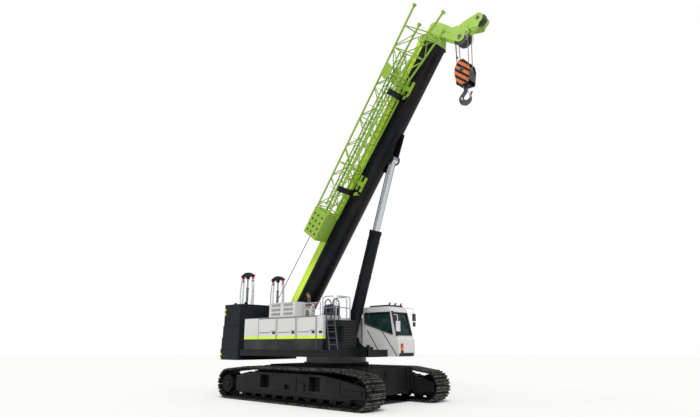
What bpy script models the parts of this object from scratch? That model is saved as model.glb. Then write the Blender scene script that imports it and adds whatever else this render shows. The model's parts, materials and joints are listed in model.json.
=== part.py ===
"""Telescopic-boom crawler crane, parked with its boom raised and its lattice jib stowed.

Metres, +Z up, +X to the front. The origin is the middle of the whole crane's footprint box on the
ground. Moving pieces hang from empties that lie on their joint axes.
"""

import math

import bmesh
import bpy
from mathutils import Matrix, Vector

# ---- clearances ---------------------------------------------------------------------------------
SEAT = 0.0003  # between pieces that rest on or bolt to each other
RUN = 0.005  # between pieces that move past each other
WHEEL_PLAY = 0.010  # between an end wheel and the straight links that wrap round it

# ---- undercarriage, measured from the middle of the tracks ---------------------------------------
TRACK_GAUGE = 3.52
SHOE_WIDTH = 0.80
SHOE_THICKNESS = 0.055
SHOE_GROOVE = 0.032
SHOE_COUNT = 60
CHAIN_WIDTH = 0.26
CHAIN_POINTS = 96
CHAIN_DEPTH = 0.13
TRACK_HEIGHT = 1.15
END_RADIUS = 0.52
IDLER_X = 3.13
SPROCKET_X = -3.11
TOP_RUN_FRONT = 2.34
TOP_RUN_REAR = -2.00
WHEEL_WIDTH = 0.20
FRAME_INNER = 1.44
FRAME_OUTER = 2.08
FRAME_LOW = 0.29
FRAME_TOP = 0.95
ROLLER_COUNT = 10
ROLLER_RADIUS = 0.12
BEAM_HALF_WIDTH = 1.33
BEAM_LOW = 0.30
BEAM_TOP = 1.14
BEAM_LENGTH = 0.75
FRONT_BEAM_FACE = 2.65
REAR_BEAM_FACE = -2.30
STUB_LOW = 0.42
STUB_TOP = 0.92
RING_RADIUS = 1.05

# ---- upperstructure, measured from the slewing axis ----------------------------------------------
SLEW_X = 0.35
DECK_LOW = 1.47
DECK_TOP = 1.70
HALF_WIDTH = 1.50
DECK_REAR = -3.585
TONGUE_FRONT = 1.90
TONGUE_HALF = 0.52
HOUSE_REAR = -3.38
HOUSE_FRONT = 0.80
HOUSE_TOP = 2.82
HOUSE_INNER = 0.62
HOUSE_WALL = 0.04
CABINET_X = (0.81, 1.44)
CABINET_Y = (-1.38, -0.56)
CABINET_TOP = 2.64
RAIL_Y = -1.33
RAIL_TOP = 3.50
DOOR_JOINTS = (-2.57, -1.52, -0.49, 0.51)
DOOR_LOW = 1.76
DOOR_TOP = 2.79
COUNTERWEIGHT_FRONT = -3.60
COUNTERWEIGHT_REAR = -4.97
COUNTERWEIGHT_LOW = 1.30
COUNTERWEIGHT_TOP = 3.40
SLAB_JOINTS = (1.70, 2.13, 2.57)
LIFT_X = -4.25
LIFT_Y = 0.80
LIFT_TOP = 4.72
BRACKET_INNER = 0.40
BRACKET_PLATE = 0.08

# ---- cab ------------------------------------------------------------------------------------------
CAB_REAR = 0.78
CAB_RIGHT = 0.52
CAB_WIDTH = 0.95
CAB_LOW = 1.48
CAB_WALL = 0.05
GLASS = 0.010

# ---- boom, measured from its foot pin along (u) and square to (n) its centre line ------------------
BOOM_ANGLE = 54.0
FOOT_X = -2.15
FOOT_Z = 2.70
BOOM_HEIGHT = 0.936
BOOM_WIDTH = 0.72
BOOM_WALL = 0.012
SECTION_STEP = 0.030
BOOM_REAR = -0.34
BASE_END = 11.40
SECTION_PROUD = 0.075
SECTION_COUNT = 5
COLLAR = 0.030
COLLAR_LIP = 0.002
COLLAR_LENGTH = 0.045
WEAR_BAND = 0.12
FOOT_BOSS = 0.17
CYLINDER_PIN_U = 7.264
CYLINDER_PIN_N = -0.692
CYLINDER_FOOT_X = 0.635
CYLINDER_FOOT_Z = 1.96
BARREL_RADIUS = 0.21
BARREL_LENGTH = 3.95
GLAND_PROUD = 0.012
BORE_START = 0.40
BORE_PLAY = 0.0008
ROD_RADIUS = 0.13
ROD_SIDES = 30
HEAD_SHEAVE = (11.88, -1.08)
HEAD_SHEAVE_RADIUS = 0.25
ROOSTER = (12.61, -1.40)
ROOSTER_RADIUS = 0.20
HEAD_HALF = 0.235
PLATE = 0.03

# ---- hook -----------------------------------------------------------------------------------------
ROPE_RADIUS = 0.013
BLOCK_DROP = 1.20
BLOCK_HALF_WIDTH = 0.27
BLOCK_SHEAVE_RADIUS = 0.22
FALL_SPACING = 0.12
GROOVE_RISE = 0.018
HOOK_TUBE = 0.062

# ---- colours --------------------------------------------------------------------------------------
LIGHT_GREY = "#c8c9c7"
LIME = "#c9ec3f"
JIB_GREEN = "#7bb21b"
HOUSE_DARK = "#24272b"
BALLAST_DARK = "#2b3036"
BOOM_BLACK = "#121418"
FRAME_BLACK = "#1c1e20"
SHOE_STEEL = "#4a4744"
CHROME = "#b9bcc0"
HOOK_ORANGE = "#e0743c"
ROPE_GREY = "#5d5d60"
GLASS_TEAL = "#20363a"
SEAT_BLACK = "#17181a"


def clear_scene():
    for obj in list(bpy.data.objects):
        bpy.data.objects.remove(obj, do_unlink=True)


def new_collection(name, hidden=False):
    made = bpy.data.collections.new(name)
    bpy.context.scene.collection.children.link(made)
    made.hide_render = hidden
    return made


clear_scene()
PARTS = new_collection("crawler_crane")
TOOLS = new_collection("cutters", hidden=True)
SLOTS = {}


def srgb(code):
    values = [int(code[i : i + 2], 16) / 255 for i in (1, 3, 5)]
    return [v / 12.92 if v <= 0.04045 else ((v + 0.055) / 1.055) ** 2.4 for v in values] + [1.0]


def paint(name, colour, roughness, metallic=0.0):
    if name not in SLOTS:
        material = bpy.data.materials.new(name)
        material.use_nodes = True
        shader = material.node_tree.nodes["Principled BSDF"]
        shader.inputs["Base Color"].default_value = srgb(colour)
        shader.inputs["Roughness"].default_value = roughness
        shader.inputs["Metallic"].default_value = metallic
        SLOTS[name] = material
    return SLOTS[name]


FINISHES = {
    "grey_paint": (LIGHT_GREY, 0.35, 0.0),
    "lime_paint": (LIME, 0.35, 0.0),
    "green_paint": (JIB_GREEN, 0.4, 0.0),
    "house_paint": (HOUSE_DARK, 0.4, 0.0),
    "ballast_paint": (BALLAST_DARK, 0.5, 0.0),
    "boom_paint": (BOOM_BLACK, 0.35, 0.0),
    "frame_paint": (FRAME_BLACK, 0.55, 0.0),
    "shoe_steel": (SHOE_STEEL, 0.6, 0.8),
    "chrome": (CHROME, 0.12, 1.0),
    "hook_paint": (HOOK_ORANGE, 0.5, 0.0),
    "forged_steel": (ROPE_GREY, 0.5, 0.8),
    "wire_rope": (ROPE_GREY, 0.5, 0.8),
    "tinted_glass": (GLASS_TEAL, 0.05, 0.0),
    "seat_cloth": (SEAT_BLACK, 0.8, 0.0),
}


def empty(name, place, parent=None, rotation=(0, 0, 0)):
    made = bpy.data.objects.new(name, None)
    PARTS.objects.link(made)
    made.location = place
    made.rotation_euler = rotation
    made.parent = parent
    return made


def piece(name, mesh_data, finish, parent, place=(0, 0, 0)):
    made = bpy.data.objects.new(name, mesh_data)
    PARTS.objects.link(made)
    made.location = place
    made.parent = parent
    mesh_data.materials.clear()
    mesh_data.materials.append(paint(finish, *FINISHES[finish]))
    mesh_data.shade_smooth()
    mesh_data.set_sharp_from_angle(angle=math.radians(35))
    return made


def tool(mesh_data, target):
    """A hidden solid in the same frame as its target."""
    made = bpy.data.objects.new(target.name + "_tool", mesh_data)
    TOOLS.objects.link(made)
    made.location = target.location
    made.parent = target.parent
    made.hide_render = True
    made.display_type = "WIRE"
    return made


def boolean(target, mesh_data, operation, solver="EXACT"):
    modifier = target.modifiers.new(operation.title(), "BOOLEAN")
    modifier.object = tool(mesh_data, target)
    modifier.operation = operation
    modifier.solver = solver


def cut(target, *meshes):
    for mesh_data in meshes:
        boolean(target, mesh_data, "DIFFERENCE")


def unite(target, *meshes):
    for mesh_data in meshes:
        boolean(target, mesh_data, "UNION")


# ---- mesh makers, each returns mesh data ----------------------------------------------------------
def from_bmesh(work):
    bmesh.ops.recalc_face_normals(work, faces=work.faces)
    data = bpy.data.meshes.new("shape")
    work.to_mesh(data)
    work.free()
    return data


def block(x, y, z):
    """A box between two x, two y and two z values."""
    work = bmesh.new()
    size = Matrix.Diagonal((x[1] - x[0], y[1] - y[0], z[1] - z[0], 1))
    middle = Matrix.Translation(((x[0] + x[1]) / 2, (y[0] + y[1]) / 2, (z[0] + z[1]) / 2))
    bmesh.ops.create_cube(work, size=1, matrix=middle @ size)
    return from_bmesh(work)


def rod(start, end, radius, sides=16, end_radius=None):
    start, end = Vector(start), Vector(end)
    work = bmesh.new()
    turn = (end - start).to_track_quat("Z", "Y").to_matrix().to_4x4()
    bmesh.ops.create_cone(
        work,
        cap_ends=True,
        segments=sides,
        radius1=radius,
        radius2=radius if end_radius is None else end_radius,
        depth=(end - start).length,
        matrix=Matrix.Translation((start + end) / 2) @ turn,
    )
    return from_bmesh(work)


def disc(x, z, y, radius, sides=32):
    """A cylinder across the crane, between two y values."""
    return rod((x, y[0], z), (x, y[1], z), radius, sides)


def curve_mesh(curve):
    """The curve's evaluated surface as a welded mesh."""
    holder = bpy.data.objects.new("curve", curve)
    bpy.context.scene.collection.objects.link(holder)
    graph = bpy.context.evaluated_depsgraph_get()
    data = bpy.data.meshes.new_from_object(holder.evaluated_get(graph))
    bpy.data.objects.remove(holder, do_unlink=True)
    work = bmesh.new()
    work.from_mesh(data)
    bmesh.ops.remove_doubles(work, verts=work.verts, dist=0.00005)
    bpy.data.meshes.remove(data)
    return from_bmesh(work)


def flat_curve(outlines, thickness):
    curve = bpy.data.curves.new("outline", "CURVE")
    curve.dimensions = "2D"
    curve.fill_mode = "BOTH"
    curve.extrude = thickness / 2
    for outline in outlines:
        spline = curve.splines.new("POLY")
        spline.points.add(len(outline) - 1)
        spline.use_cyclic_u = True
        for point, (a, b) in zip(spline.points, outline):
            point.co = (a, b, 0, 1)
    return curve_mesh(curve)


def side_plate(outlines, y):
    """Outlines in x and z, extruded between two y values."""
    data = flat_curve(outlines, y[1] - y[0])
    upright = Matrix.Translation((0, (y[0] + y[1]) / 2, 0)) @ Matrix.Rotation(math.pi / 2, 4, "X")
    data.transform(upright)
    return data


def floor_plate(outlines, z):
    """Outlines in x and y, extruded between two z values."""
    data = flat_curve(outlines, z[1] - z[0])
    data.transform(Matrix.Translation((0, 0, (z[0] + z[1]) / 2)))
    return data


def cross_plate(outlines, x):
    """Outlines in y and z, extruded between two x values."""
    data = flat_curve(outlines, x[1] - x[0])
    turn = Matrix(((0, 0, 1, 0), (1, 0, 0, 0), (0, 1, 0, 0), (0, 0, 0, 1)))
    data.transform(Matrix.Translation(((x[0] + x[1]) / 2, 0, 0)) @ turn)
    return data


def pipe(points, radius, sides=8, cyclic=False):
    """A round bar along points; each point may carry its own radius share as a fourth number."""
    curve = bpy.data.curves.new("route", "CURVE")
    curve.dimensions = "3D"
    curve.bevel_depth = radius
    curve.bevel_resolution = (sides - 4) // 2
    curve.use_fill_caps = not cyclic
    spline = curve.splines.new("POLY")
    spline.points.add(len(points) - 1)
    spline.use_cyclic_u = cyclic
    for target, point in zip(spline.points, points):
        target.co = (point[0], point[1], point[2], 1)
        target.radius = point[3] if len(point) > 3 else 1
    return curve_mesh(curve)


def arc(cx, cz, radius, start, stop, steps):
    """Points round a centre, angles in degrees."""
    angles = [math.radians(start + (stop - start) * i / steps) for i in range(steps + 1)]
    return [(cx + radius * math.cos(a), cz + radius * math.sin(a)) for a in angles]


def framework(name, members, finish, parent):
    """Many crossing bars united into one body."""
    made = piece(name, members[0], finish, parent)
    bars = bpy.data.collections.new(name + "_bars")
    TOOLS.children.link(bars)
    for data in members[1:]:
        bar = tool(data, made)
        TOOLS.objects.unlink(bar)
        bars.objects.link(bar)
    modifier = made.modifiers.new("Union", "BOOLEAN")
    modifier.operand_type = "COLLECTION"
    modifier.collection = bars
    modifier.operation = "UNION"
    modifier.solver = "EXACT"
    return made


def mirrored(y, side):
    """Two y values in order, on the left (side 1) or the right (side -1)."""
    return (y[0], y[1]) if side > 0 else (-y[1], -y[0])


# ---- frames ---------------------------------------------------------------------------------------
COS = math.cos(math.radians(BOOM_ANGLE))
SIN = math.sin(math.radians(BOOM_ANGLE))


def boom_point(u, n):
    """x and z, from the slewing axis and the ground, of a point on the boom at rest."""
    return FOOT_X + COS * u - SIN * n, FOOT_Z + SIN * u + COS * n


CRANE_REAR = SLEW_X + COUNTERWEIGHT_REAR
CRANE_FRONT = SLEW_X + boom_point(*ROOSTER)[0] + ROOSTER_RADIUS
MIDDLE_X = (CRANE_REAR + CRANE_FRONT) / 2

crane = empty("crane", (-MIDDLE_X, 0, 0))
upper = empty("slew_axis", (SLEW_X, 0, 0), crane)
boom = empty("boom_foot", (FOOT_X, 0, FOOT_Z), upper, (0, -math.radians(BOOM_ANGLE), 0))
PIN_X, PIN_Z = boom_point(CYLINDER_PIN_U, CYLINDER_PIN_N)
CYLINDER_ANGLE = math.atan2(PIN_Z - CYLINDER_FOOT_Z, PIN_X - CYLINDER_FOOT_X)
CYLINDER_LENGTH = math.hypot(PIN_Z - CYLINDER_FOOT_Z, PIN_X - CYLINDER_FOOT_X)
CYLINDER_SHORTEST = math.hypot(
    FOOT_X + CYLINDER_PIN_U - CYLINDER_FOOT_X, FOOT_Z + CYLINDER_PIN_N - CYLINDER_FOOT_Z
)
cylinder = empty("luff_cylinder_pin", (PIN_X, 0, PIN_Z), upper, (0, -CYLINDER_ANGLE, 0))
HEAD_X, HEAD_Z = boom_point(*HEAD_SHEAVE)
hook_frame = empty("hook_swing", (HEAD_X, 0, HEAD_Z), upper)


# ---- undercarriage --------------------------------------------------------------------------------
def tangent_turn(centre_x, x, way):
    """Where a line from a top run end at x touches an end wheel's circle, in degrees."""
    across, up = x - centre_x, TRACK_HEIGHT - END_RADIUS
    spread = math.acos(END_RADIUS / math.hypot(across, up))
    return math.degrees(math.atan2(up, across) + way * spread)


def track_envelope():
    """The outer line of the shoes, anticlockwise from the ground, as points close together."""
    turn = tangent_turn(IDLER_X, TOP_RUN_FRONT, -1)
    front = arc(IDLER_X, END_RADIUS, END_RADIUS, -90, turn, 24)
    turn = tangent_turn(SPROCKET_X, TOP_RUN_REAR, 1)
    rear = arc(SPROCKET_X, END_RADIUS, END_RADIUS, turn, 270, 24)
    return front + [(TOP_RUN_FRONT, TRACK_HEIGHT), (TOP_RUN_REAR, TRACK_HEIGHT)] + rear


def walk(outline, distance):
    """The point that lies a distance along a closed outline, and the outward normal there."""
    count = len(outline)
    for i in range(count):
        a, b = outline[i], outline[(i + 1) % count]
        length = math.dist(a, b)
        if distance <= length:
            share = distance / length
            along = ((b[0] - a[0]) / length, (b[1] - a[1]) / length)
            spot = (a[0] + (b[0] - a[0]) * share, a[1] + (b[1] - a[1]) * share)
            return spot, (along[1], -along[0])
        distance -= length
    return walk(outline, distance)


def inset(outline, depth, samples):
    """A closed line at a depth inside the outline, with evenly spread points."""
    total = sum(math.dist(outline[i - 1], outline[i]) for i in range(len(outline)))
    points = []
    for i in range(samples):
        spot, normal = walk(outline, total * (i + 0.5) / samples)
        points.append((spot[0] - depth * normal[0], spot[1] - depth * normal[1]))
    return points


def shoe_line(outline):
    """The outer outline with a groove between each shoe and the next."""
    total = sum(math.dist(outline[i - 1], outline[i]) for i in range(len(outline)))
    pitch = total / SHOE_COUNT
    points = []
    for i in range(SHOE_COUNT):
        for share, depth in ((0.06, SHOE_GROOVE), (0.10, 0), (0.90, 0), (0.94, SHOE_GROOVE)):
            spot, normal = walk(outline, pitch * (i + share))
            points.append((spot[0] - depth * normal[0], spot[1] - depth * normal[1]))
    return points


def build_track(label, side):
    middle = side * TRACK_GAUGE / 2
    outline = track_envelope()
    shoes = [shoe_line(outline), inset(outline, SHOE_THICKNESS, 2 * SHOE_COUNT)]
    chain = [inset(outline, (SHOE_THICKNESS + SHOE_GROOVE) / 2, CHAIN_POINTS)]
    chain.append(inset(outline, CHAIN_DEPTH, CHAIN_POINTS))
    spread = (middle - SHOE_WIDTH / 2, middle + SHOE_WIDTH / 2)
    made = piece("track_" + label, side_plate(shoes, spread), "shoe_steel", crane)
    links = side_plate(chain, (middle - CHAIN_WIDTH / 2, middle + CHAIN_WIDTH / 2))
    boolean(made, links, "UNION", solver="MANIFOLD")


def build_track_wheels(label, side):
    middle = side * TRACK_GAUGE / 2
    radius = END_RADIUS - CHAIN_DEPTH - WHEEL_PLAY
    half = WHEEL_WIDTH / 2
    hub_inner = FRAME_INNER + 0.16 + SEAT
    sprocket = piece(
        "sprocket_" + label,
        disc(SPROCKET_X, END_RADIUS, (middle - half, middle + half), radius, 36),
        "frame_paint",
        crane,
    )
    hub = disc(SPROCKET_X, END_RADIUS, mirrored((hub_inner, FRAME_OUTER), side), 0.29, 28)
    cap = disc(SPROCKET_X, END_RADIUS, mirrored((FRAME_OUTER - 0.05, FRAME_OUTER + 0.03), side), 0.16)
    unite(sprocket, hub, cap)
    idler = piece(
        "idler_" + label,
        disc(IDLER_X, END_RADIUS, (middle - half, middle + half), radius, 36),
        "frame_paint",
        crane,
    )
    reach = 0.17 - SEAT
    unite(idler, disc(IDLER_X, END_RADIUS, (middle - reach, middle + reach), 0.09, 16))


def build_track_frame(label, side):
    outline = [
        (-3.11, 0.30),
        (-2.55, FRAME_LOW),
        (2.72, FRAME_LOW),
        (3.10, 0.35),
        (3.45, 0.36),
        (3.45, 0.66),
        (2.95, 0.76),
        (2.31, 0.86),
        (1.67, FRAME_TOP),
        (-1.75, FRAME_TOP),
        (-2.20, 0.88),
        (-2.70, 0.80),
        (-3.11, 0.78),
        (-3.30, 0.64),
        (-3.30, 0.42),
    ]
    middle = side * TRACK_GAUGE / 2
    made = piece(
        "track_frame_" + label,
        side_plate([outline], mirrored((FRAME_INNER, FRAME_OUTER), side)),
        "frame_paint",
        crane,
    )
    slot = 0.17
    cut(made, block((2.55, 3.60), (middle - slot, middle + slot), (0.20, 1.10)))
    cut(made, block((-3.60, -2.58), mirrored((FRAME_INNER + 0.16, FRAME_OUTER + 0.10), side), (0.20, 1.10)))
    pocket = mirrored((FRAME_OUTER - 0.22, FRAME_OUTER + 0.10), side)
    for low, high in ((-1.24, -0.77), (1.15, 1.63)):
        cut(made, block((low, high), pocket, (0.47, FRAME_TOP - 0.06)))
    cut(made, block((0.00, 0.26), mirrored((FRAME_OUTER - 0.08, FRAME_OUTER + 0.10), side), (0.47, 0.62)))
    flange = mirrored((BEAM_HALF_WIDTH + 0.05, FRAME_INNER + 0.02), side)
    for face, way in ((FRONT_BEAM_FACE, -1), (REAR_BEAM_FACE, 1)):
        near, far = sorted((face + 0.04 * -way, face + (BEAM_LENGTH + 0.04) * way))
        unite(made, block((near, far), flange, (FRAME_LOW + 0.02, STUB_TOP + 0.04)))
    add_rollers(made, middle)


def add_rollers(frame, middle):
    """The row of bottom rollers under a track frame, on its own rail."""
    height = CHAIN_DEPTH + ROLLER_RADIUS + 2 * SEAT
    first, last = -2.32, 2.62
    rail_z = (FRAME_LOW - 0.05, FRAME_LOW + 0.02)
    unite(frame, block((first - 0.16, last + 0.16), (middle - 0.19, middle + 0.19), rail_z))
    for i in range(ROLLER_COUNT):
        x = first + (last - first) * i / (ROLLER_COUNT - 1)
        unite(frame, disc(x, height, (middle - 0.17, middle + 0.17), ROLLER_RADIUS, 16))


def build_carbody():
    middle = block((REAR_BEAM_FACE + 0.1, FRONT_BEAM_FACE - 0.1), (-0.86, 0.86), (0.42, BEAM_TOP + 0.04))
    made = piece("carbody", middle, "frame_paint", crane)
    for face, way in ((FRONT_BEAM_FACE, -1), (REAR_BEAM_FACE, 1)):
        x = sorted((face, face + BEAM_LENGTH * way))
        w = BEAM_HALF_WIDTH - 0.06
        beam = [(-w, 0.44), (-w + 0.18, BEAM_LOW), (w - 0.18, BEAM_LOW), (w, 0.44)]
        beam += [(w, 1.10), (w - 0.3, BEAM_TOP), (-w + 0.3, BEAM_TOP), (-w, 1.10)]
        unite(made, cross_plate([beam], x))
        stub = FRAME_INNER - SEAT - 0.06
        unite(made, block((x[0] + 0.1, x[1] - 0.1), (-stub, stub), (STUB_LOW, STUB_TOP)))
        for y in ((-BEAM_HALF_WIDTH, -w + 0.01), (w - 0.01, BEAM_HALF_WIDTH)):
            unite(made, block((x[0] - 0.03, x[1] + 0.03), y, (0.40, 1.13)))
    unite(made, rod((SLEW_X, 0, 1.0), (SLEW_X, 0, 1.26), RING_RADIUS + 0.10, 48))


def build_slew_ring():
    made = piece(
        "slew_ring",
        rod((SLEW_X, 0, 1.26 + SEAT), (SLEW_X, 0, DECK_LOW - SEAT), RING_RADIUS, 48),
        "forged_steel",
        crane,
    )
    cut(made, rod((SLEW_X, 0, 1.0), (SLEW_X, 0, 1.8), RING_RADIUS - 0.22, 40))


# ---- deck, house and counterweight ----------------------------------------------------------------
def build_deck():
    right_front = 1.48
    outline = [
        (DECK_REAR, -HALF_WIDTH),
        (right_front, -HALF_WIDTH),
        (right_front, -TONGUE_HALF),
        (TONGUE_FRONT, -TONGUE_HALF),
        (TONGUE_FRONT, TONGUE_HALF - SEAT),
        (CAB_REAR - 0.06, TONGUE_HALF - SEAT),
        (CAB_REAR - 0.06, HALF_WIDTH),
        (DECK_REAR, HALF_WIDTH),
    ]
    made = piece("deck_frame", floor_plate([outline], (DECK_LOW, DECK_TOP)), "house_paint", upper)
    foot = CYLINDER_FOOT_X
    ear = [(foot - 0.42, DECK_TOP - 0.05), (foot + 0.42, DECK_TOP - 0.05), (foot + 0.42, DECK_TOP + 0.08)]
    ear += arc(foot, CYLINDER_FOOT_Z, 0.20, 0, 180, 8) + [(foot - 0.42, DECK_TOP + 0.08)]
    for side in (-1, 1):
        unite(made, side_plate([ear], mirrored((0.24, 0.31), side)))
        unite(made, disc(foot, CYLINDER_FOOT_Z, mirrored((0.30, 0.35), side), 0.11, 20))


def build_boom_bracket():
    """The two tall plates that carry the boom foot and, behind it, the two winches."""
    rear = COUNTERWEIGHT_FRONT + 0.04
    outline = [
        (rear, DECK_TOP + SEAT),
        (-1.05, DECK_TOP + SEAT),
        (-1.05, 1.95),
        (FOOT_X + 0.36, 2.55),
    ]
    outline += arc(FOOT_X, FOOT_Z, 0.33, -5, 95, 7)
    outline += [(-2.75, 3.10), (-2.95, 3.27), (-3.30, 3.27), (rear, 2.95)]
    y = (BRACKET_INNER, BRACKET_INNER + BRACKET_PLATE)
    made = piece("boom_foot_bracket", side_plate([outline], mirrored(y, -1)), "house_paint", upper)
    unite(made, side_plate([outline], y))
    inner = BRACKET_INNER + 0.03
    unite(made, block((rear, -1.05), (-inner, inner), (DECK_TOP + SEAT, DECK_TOP + 0.05)))
    for side in (-1, 1):
        boss = mirrored((BRACKET_INNER + BRACKET_PLATE - 0.01, HOUSE_INNER - 0.05), side)
        unite(made, disc(FOOT_X, FOOT_Z, boss, 0.15, 24))


WINCHES = (("main_winch_drum", -3.13, 2.93, 0.31), ("auxiliary_winch_drum", -3.13, 2.17, 0.31))


def build_winch(name, x, z, flange):
    pivot = empty(name + "_axis", (x, 0, z), upper)
    reach = BRACKET_INNER - RUN
    made = piece(name, rod((0, -reach, 0), (0, reach, 0), 0.20, 32), "forged_steel", pivot)
    for side in (-1, 1):
        unite(made, rod((0, side * (reach - 0.05), 0), (0, side * (reach - 0.01), 0), flange, 36))
        stub = BRACKET_INNER - SEAT
        unite(made, rod((0, side * (reach - 0.03), 0), (0, side * stub, 0), 0.10, 20))


def house_doors(side):
    """Which door openings a side of the house has, as pairs of x values."""
    count = 3 if side < 0 else 1
    return [(DOOR_JOINTS[i], DOOR_JOINTS[i + 1]) for i in range(count)]


def build_house(label, side, front):
    outer = mirrored((HOUSE_INNER, HALF_WIDTH), side)
    hollow = mirrored((HOUSE_INNER + HOUSE_WALL, HALF_WIDTH - HOUSE_WALL), side)
    made = piece(
        "house_" + label,
        block((HOUSE_REAR, front), outer, (DECK_TOP + SEAT, HOUSE_TOP)),
        "grey_paint",
        upper,
    )
    room = (HOUSE_REAR + HOUSE_WALL, front - HOUSE_WALL)
    cut(made, block(room, hollow, (DECK_TOP - 0.1, HOUSE_TOP - HOUSE_WALL)))
    opening = mirrored((HALF_WIDTH - HOUSE_WALL - 0.02, HALF_WIDTH + 0.1), side)
    post = 0.02
    for i, (rear, fore) in enumerate(house_doors(side)):
        cut(made, block((rear + post, fore - post), opening, (DOOR_LOW - RUN, DOOR_TOP + RUN)))
        hinge_x = rear + post + RUN
        pivot = empty(f"house_{label}_door_{i + 1}_hinge", (hinge_x, side * HALF_WIDTH, 0), upper)
        width = fore - rear - 2 * post - 2 * RUN
        inward = sorted((0, -side * HOUSE_WALL))
        door = block((0, width), inward, (DOOR_LOW, DOOR_TOP))
        door_piece = piece(f"house_{label}_door_{i + 1}", door, "grey_paint", pivot)
        for z in (DOOR_LOW + 0.15, DOOR_TOP - 0.15):
            knuckle_y = side * -HOUSE_WALL / 2
            knuckle = rod((-RUN + SEAT, knuckle_y, z), (0.03, knuckle_y, z), 0.012, 10)
            unite(door_piece, knuckle)


def build_counterweight():
    levels = (COUNTERWEIGHT_LOW,) + SLAB_JOINTS + (COUNTERWEIGHT_TOP,)
    front, rear, half, bevel = COUNTERWEIGHT_FRONT, COUNTERWEIGHT_REAR, HALF_WIDTH, 0.10
    for i in range(len(levels) - 1):
        lean = 0.05 * i
        outline = [(front, -0.9), (front, 0.9), (front - 0.12, half), (rear + lean + bevel, half)]
        outline += [(rear + lean, half - bevel), (rear + lean, bevel - half)]
        outline += [(rear + lean + bevel, -half), (front - 0.12, -half)]
        low = levels[i] + (SEAT if i else 0)
        name = f"counterweight_slab_{i + 1}"
        made = piece(name, floor_plate([outline], (low, levels[i + 1])), "ballast_paint", upper)
        if i == 0:
            tail = (front - 0.02, DECK_REAR - SEAT)
            unite(made, block(tail, (-1.2, 1.2), (DECK_LOW, DECK_TOP - 0.01)))


def build_lifts():
    """Two cylinders on the ballast that raise a crossbar with four chains each."""
    for label, side in (("right", -1), ("left", 1)):
        y = side * LIFT_Y
        foot = COUNTERWEIGHT_TOP + SEAT
        barrel_top = foot + 0.80
        made = piece(
            "ballast_lift_barrel_" + label,
            rod((LIFT_X, y, foot), (LIFT_X, y, barrel_top), 0.085, 24),
            "house_paint",
            upper,
        )
        unite(made, block((LIFT_X - 0.16, LIFT_X + 0.16), (y - 0.16, y + 0.16), (foot, foot + 0.06)))
        cut(made, rod((LIFT_X, y, foot + 0.1), (LIFT_X, y, barrel_top + 0.1), 0.055 + BORE_PLAY, 24))
        pivot = empty(f"ballast_lift_{label}_axis", (LIFT_X, y, 0), upper)
        head = LIFT_TOP - 0.10
        moving = piece(
            "ballast_lift_bar_" + label,
            rod((0, 0, foot + 0.42), (0, 0, head), 0.055, 24),
            "forged_steel",
            pivot,
        )
        bar = [(-0.36, head), (-0.30, head - 0.06), (0.30, head - 0.06), (0.36, head), (0.30, LIFT_TOP)]
        bar += [(-0.30, LIFT_TOP)]
        unite(moving, side_plate([bar], (-0.09, 0.09)))


def build_roof_gear():
    top = HOUSE_TOP + SEAT
    louvre = block((-2.00, -0.62), (-1.46, -0.72), (top, 3.33))
    piece("louvre_box", louvre, "grey_paint", upper)
    can = rod((-0.42, -0.98, top), (-0.42, -0.98, 3.30), 0.15, 24)
    silencer = piece("exhaust_silencer", can, "forged_steel", upper)
    bend = [(-0.42, -0.98, 3.25), (-0.42, -0.98, 3.48), (-0.45, -0.98, 3.56), (-0.52, -0.98, 3.62)]
    unite(silencer, pipe(bend, 0.065, 12))
    piece("hydraulic_valve_block", block((0.36, 0.78), (-1.02, -0.66), (top, 3.16)), "house_paint", upper)
    engine = block((-2.35, -0.55), (-1.38, -0.74), (DECK_TOP + SEAT, 2.55))
    piece("engine_block", engine, "frame_paint", upper)


def build_front_cabinet():
    x, y = CABINET_X, CABINET_Y
    made = piece("front_cabinet", block(x, y, (DECK_TOP + SEAT, CABINET_TOP)), "house_paint", upper)
    cut(made, block((x[0] + 0.10, x[1] + 0.1), (y[0] - 0.1, y[0] + 0.22), (1.95, 2.45)))


def rail_loop(corners, low, high, mid):
    """A guard rail: a post under each corner, a bent top rail and a knee rail."""
    members = []
    top = [(x, y, high) for x, y in corners]
    members.append(pipe([(*corners[0], low)] + top + [(*corners[-1], low)], 0.019, 6))
    members.append(pipe([(x, y, mid) for x, y in corners], 0.014, 6))
    for x, y in corners[1:-1]:
        members.append(rod((x, y, low), (x, y, high), 0.017, 6))
    return members


def build_ladder():
    """Two bent stiles and four rungs up the right side, and the guard rails on the platform.

    A toe board round the platform ties the rails to the stiles.
    """
    platform = CABINET_TOP + SEAT
    low = platform + 0.01
    members = []
    stiles = (0.98, 1.34)
    stile_y = CABINET_Y[0] - 0.08
    for x in stiles:
        route = [(x, stile_y, DECK_TOP + 0.02), (x, stile_y, 3.00), (x, stile_y + 0.06, 3.10)]
        route += [(x, stile_y + 0.11, 3.12), (x, RAIL_Y, 3.05), (x, RAIL_Y, low)]
        members.append(pipe(route, 0.018, 6))
        members.append(rod((x, stile_y, 1.90), (x, CABINET_Y[0] - SEAT, 1.90), 0.014, 6))
        members.append(rod((x, stile_y, DECK_TOP + 0.06), (x, stile_y, DECK_TOP + SEAT), 0.017, 8))
    for i in range(4):
        z = DECK_TOP + 0.22 + 0.25 * i
        members.append(rod((stiles[0] - 0.01, stile_y, z), (stiles[1] + 0.01, stile_y, z), 0.014, 6))
    for first, last in ((0.835, 0.98), (1.10, 1.42)):
        members += rail_loop([(first, RAIL_Y), (last, RAIL_Y)], low, RAIL_TOP, 3.07)
    members.append(block((0.82, 1.435), (RAIL_Y - 0.02, RAIL_Y + 0.02), (platform, platform + 0.06)))
    framework("ladder_and_guard_rails", members, "forged_steel", upper)


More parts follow.
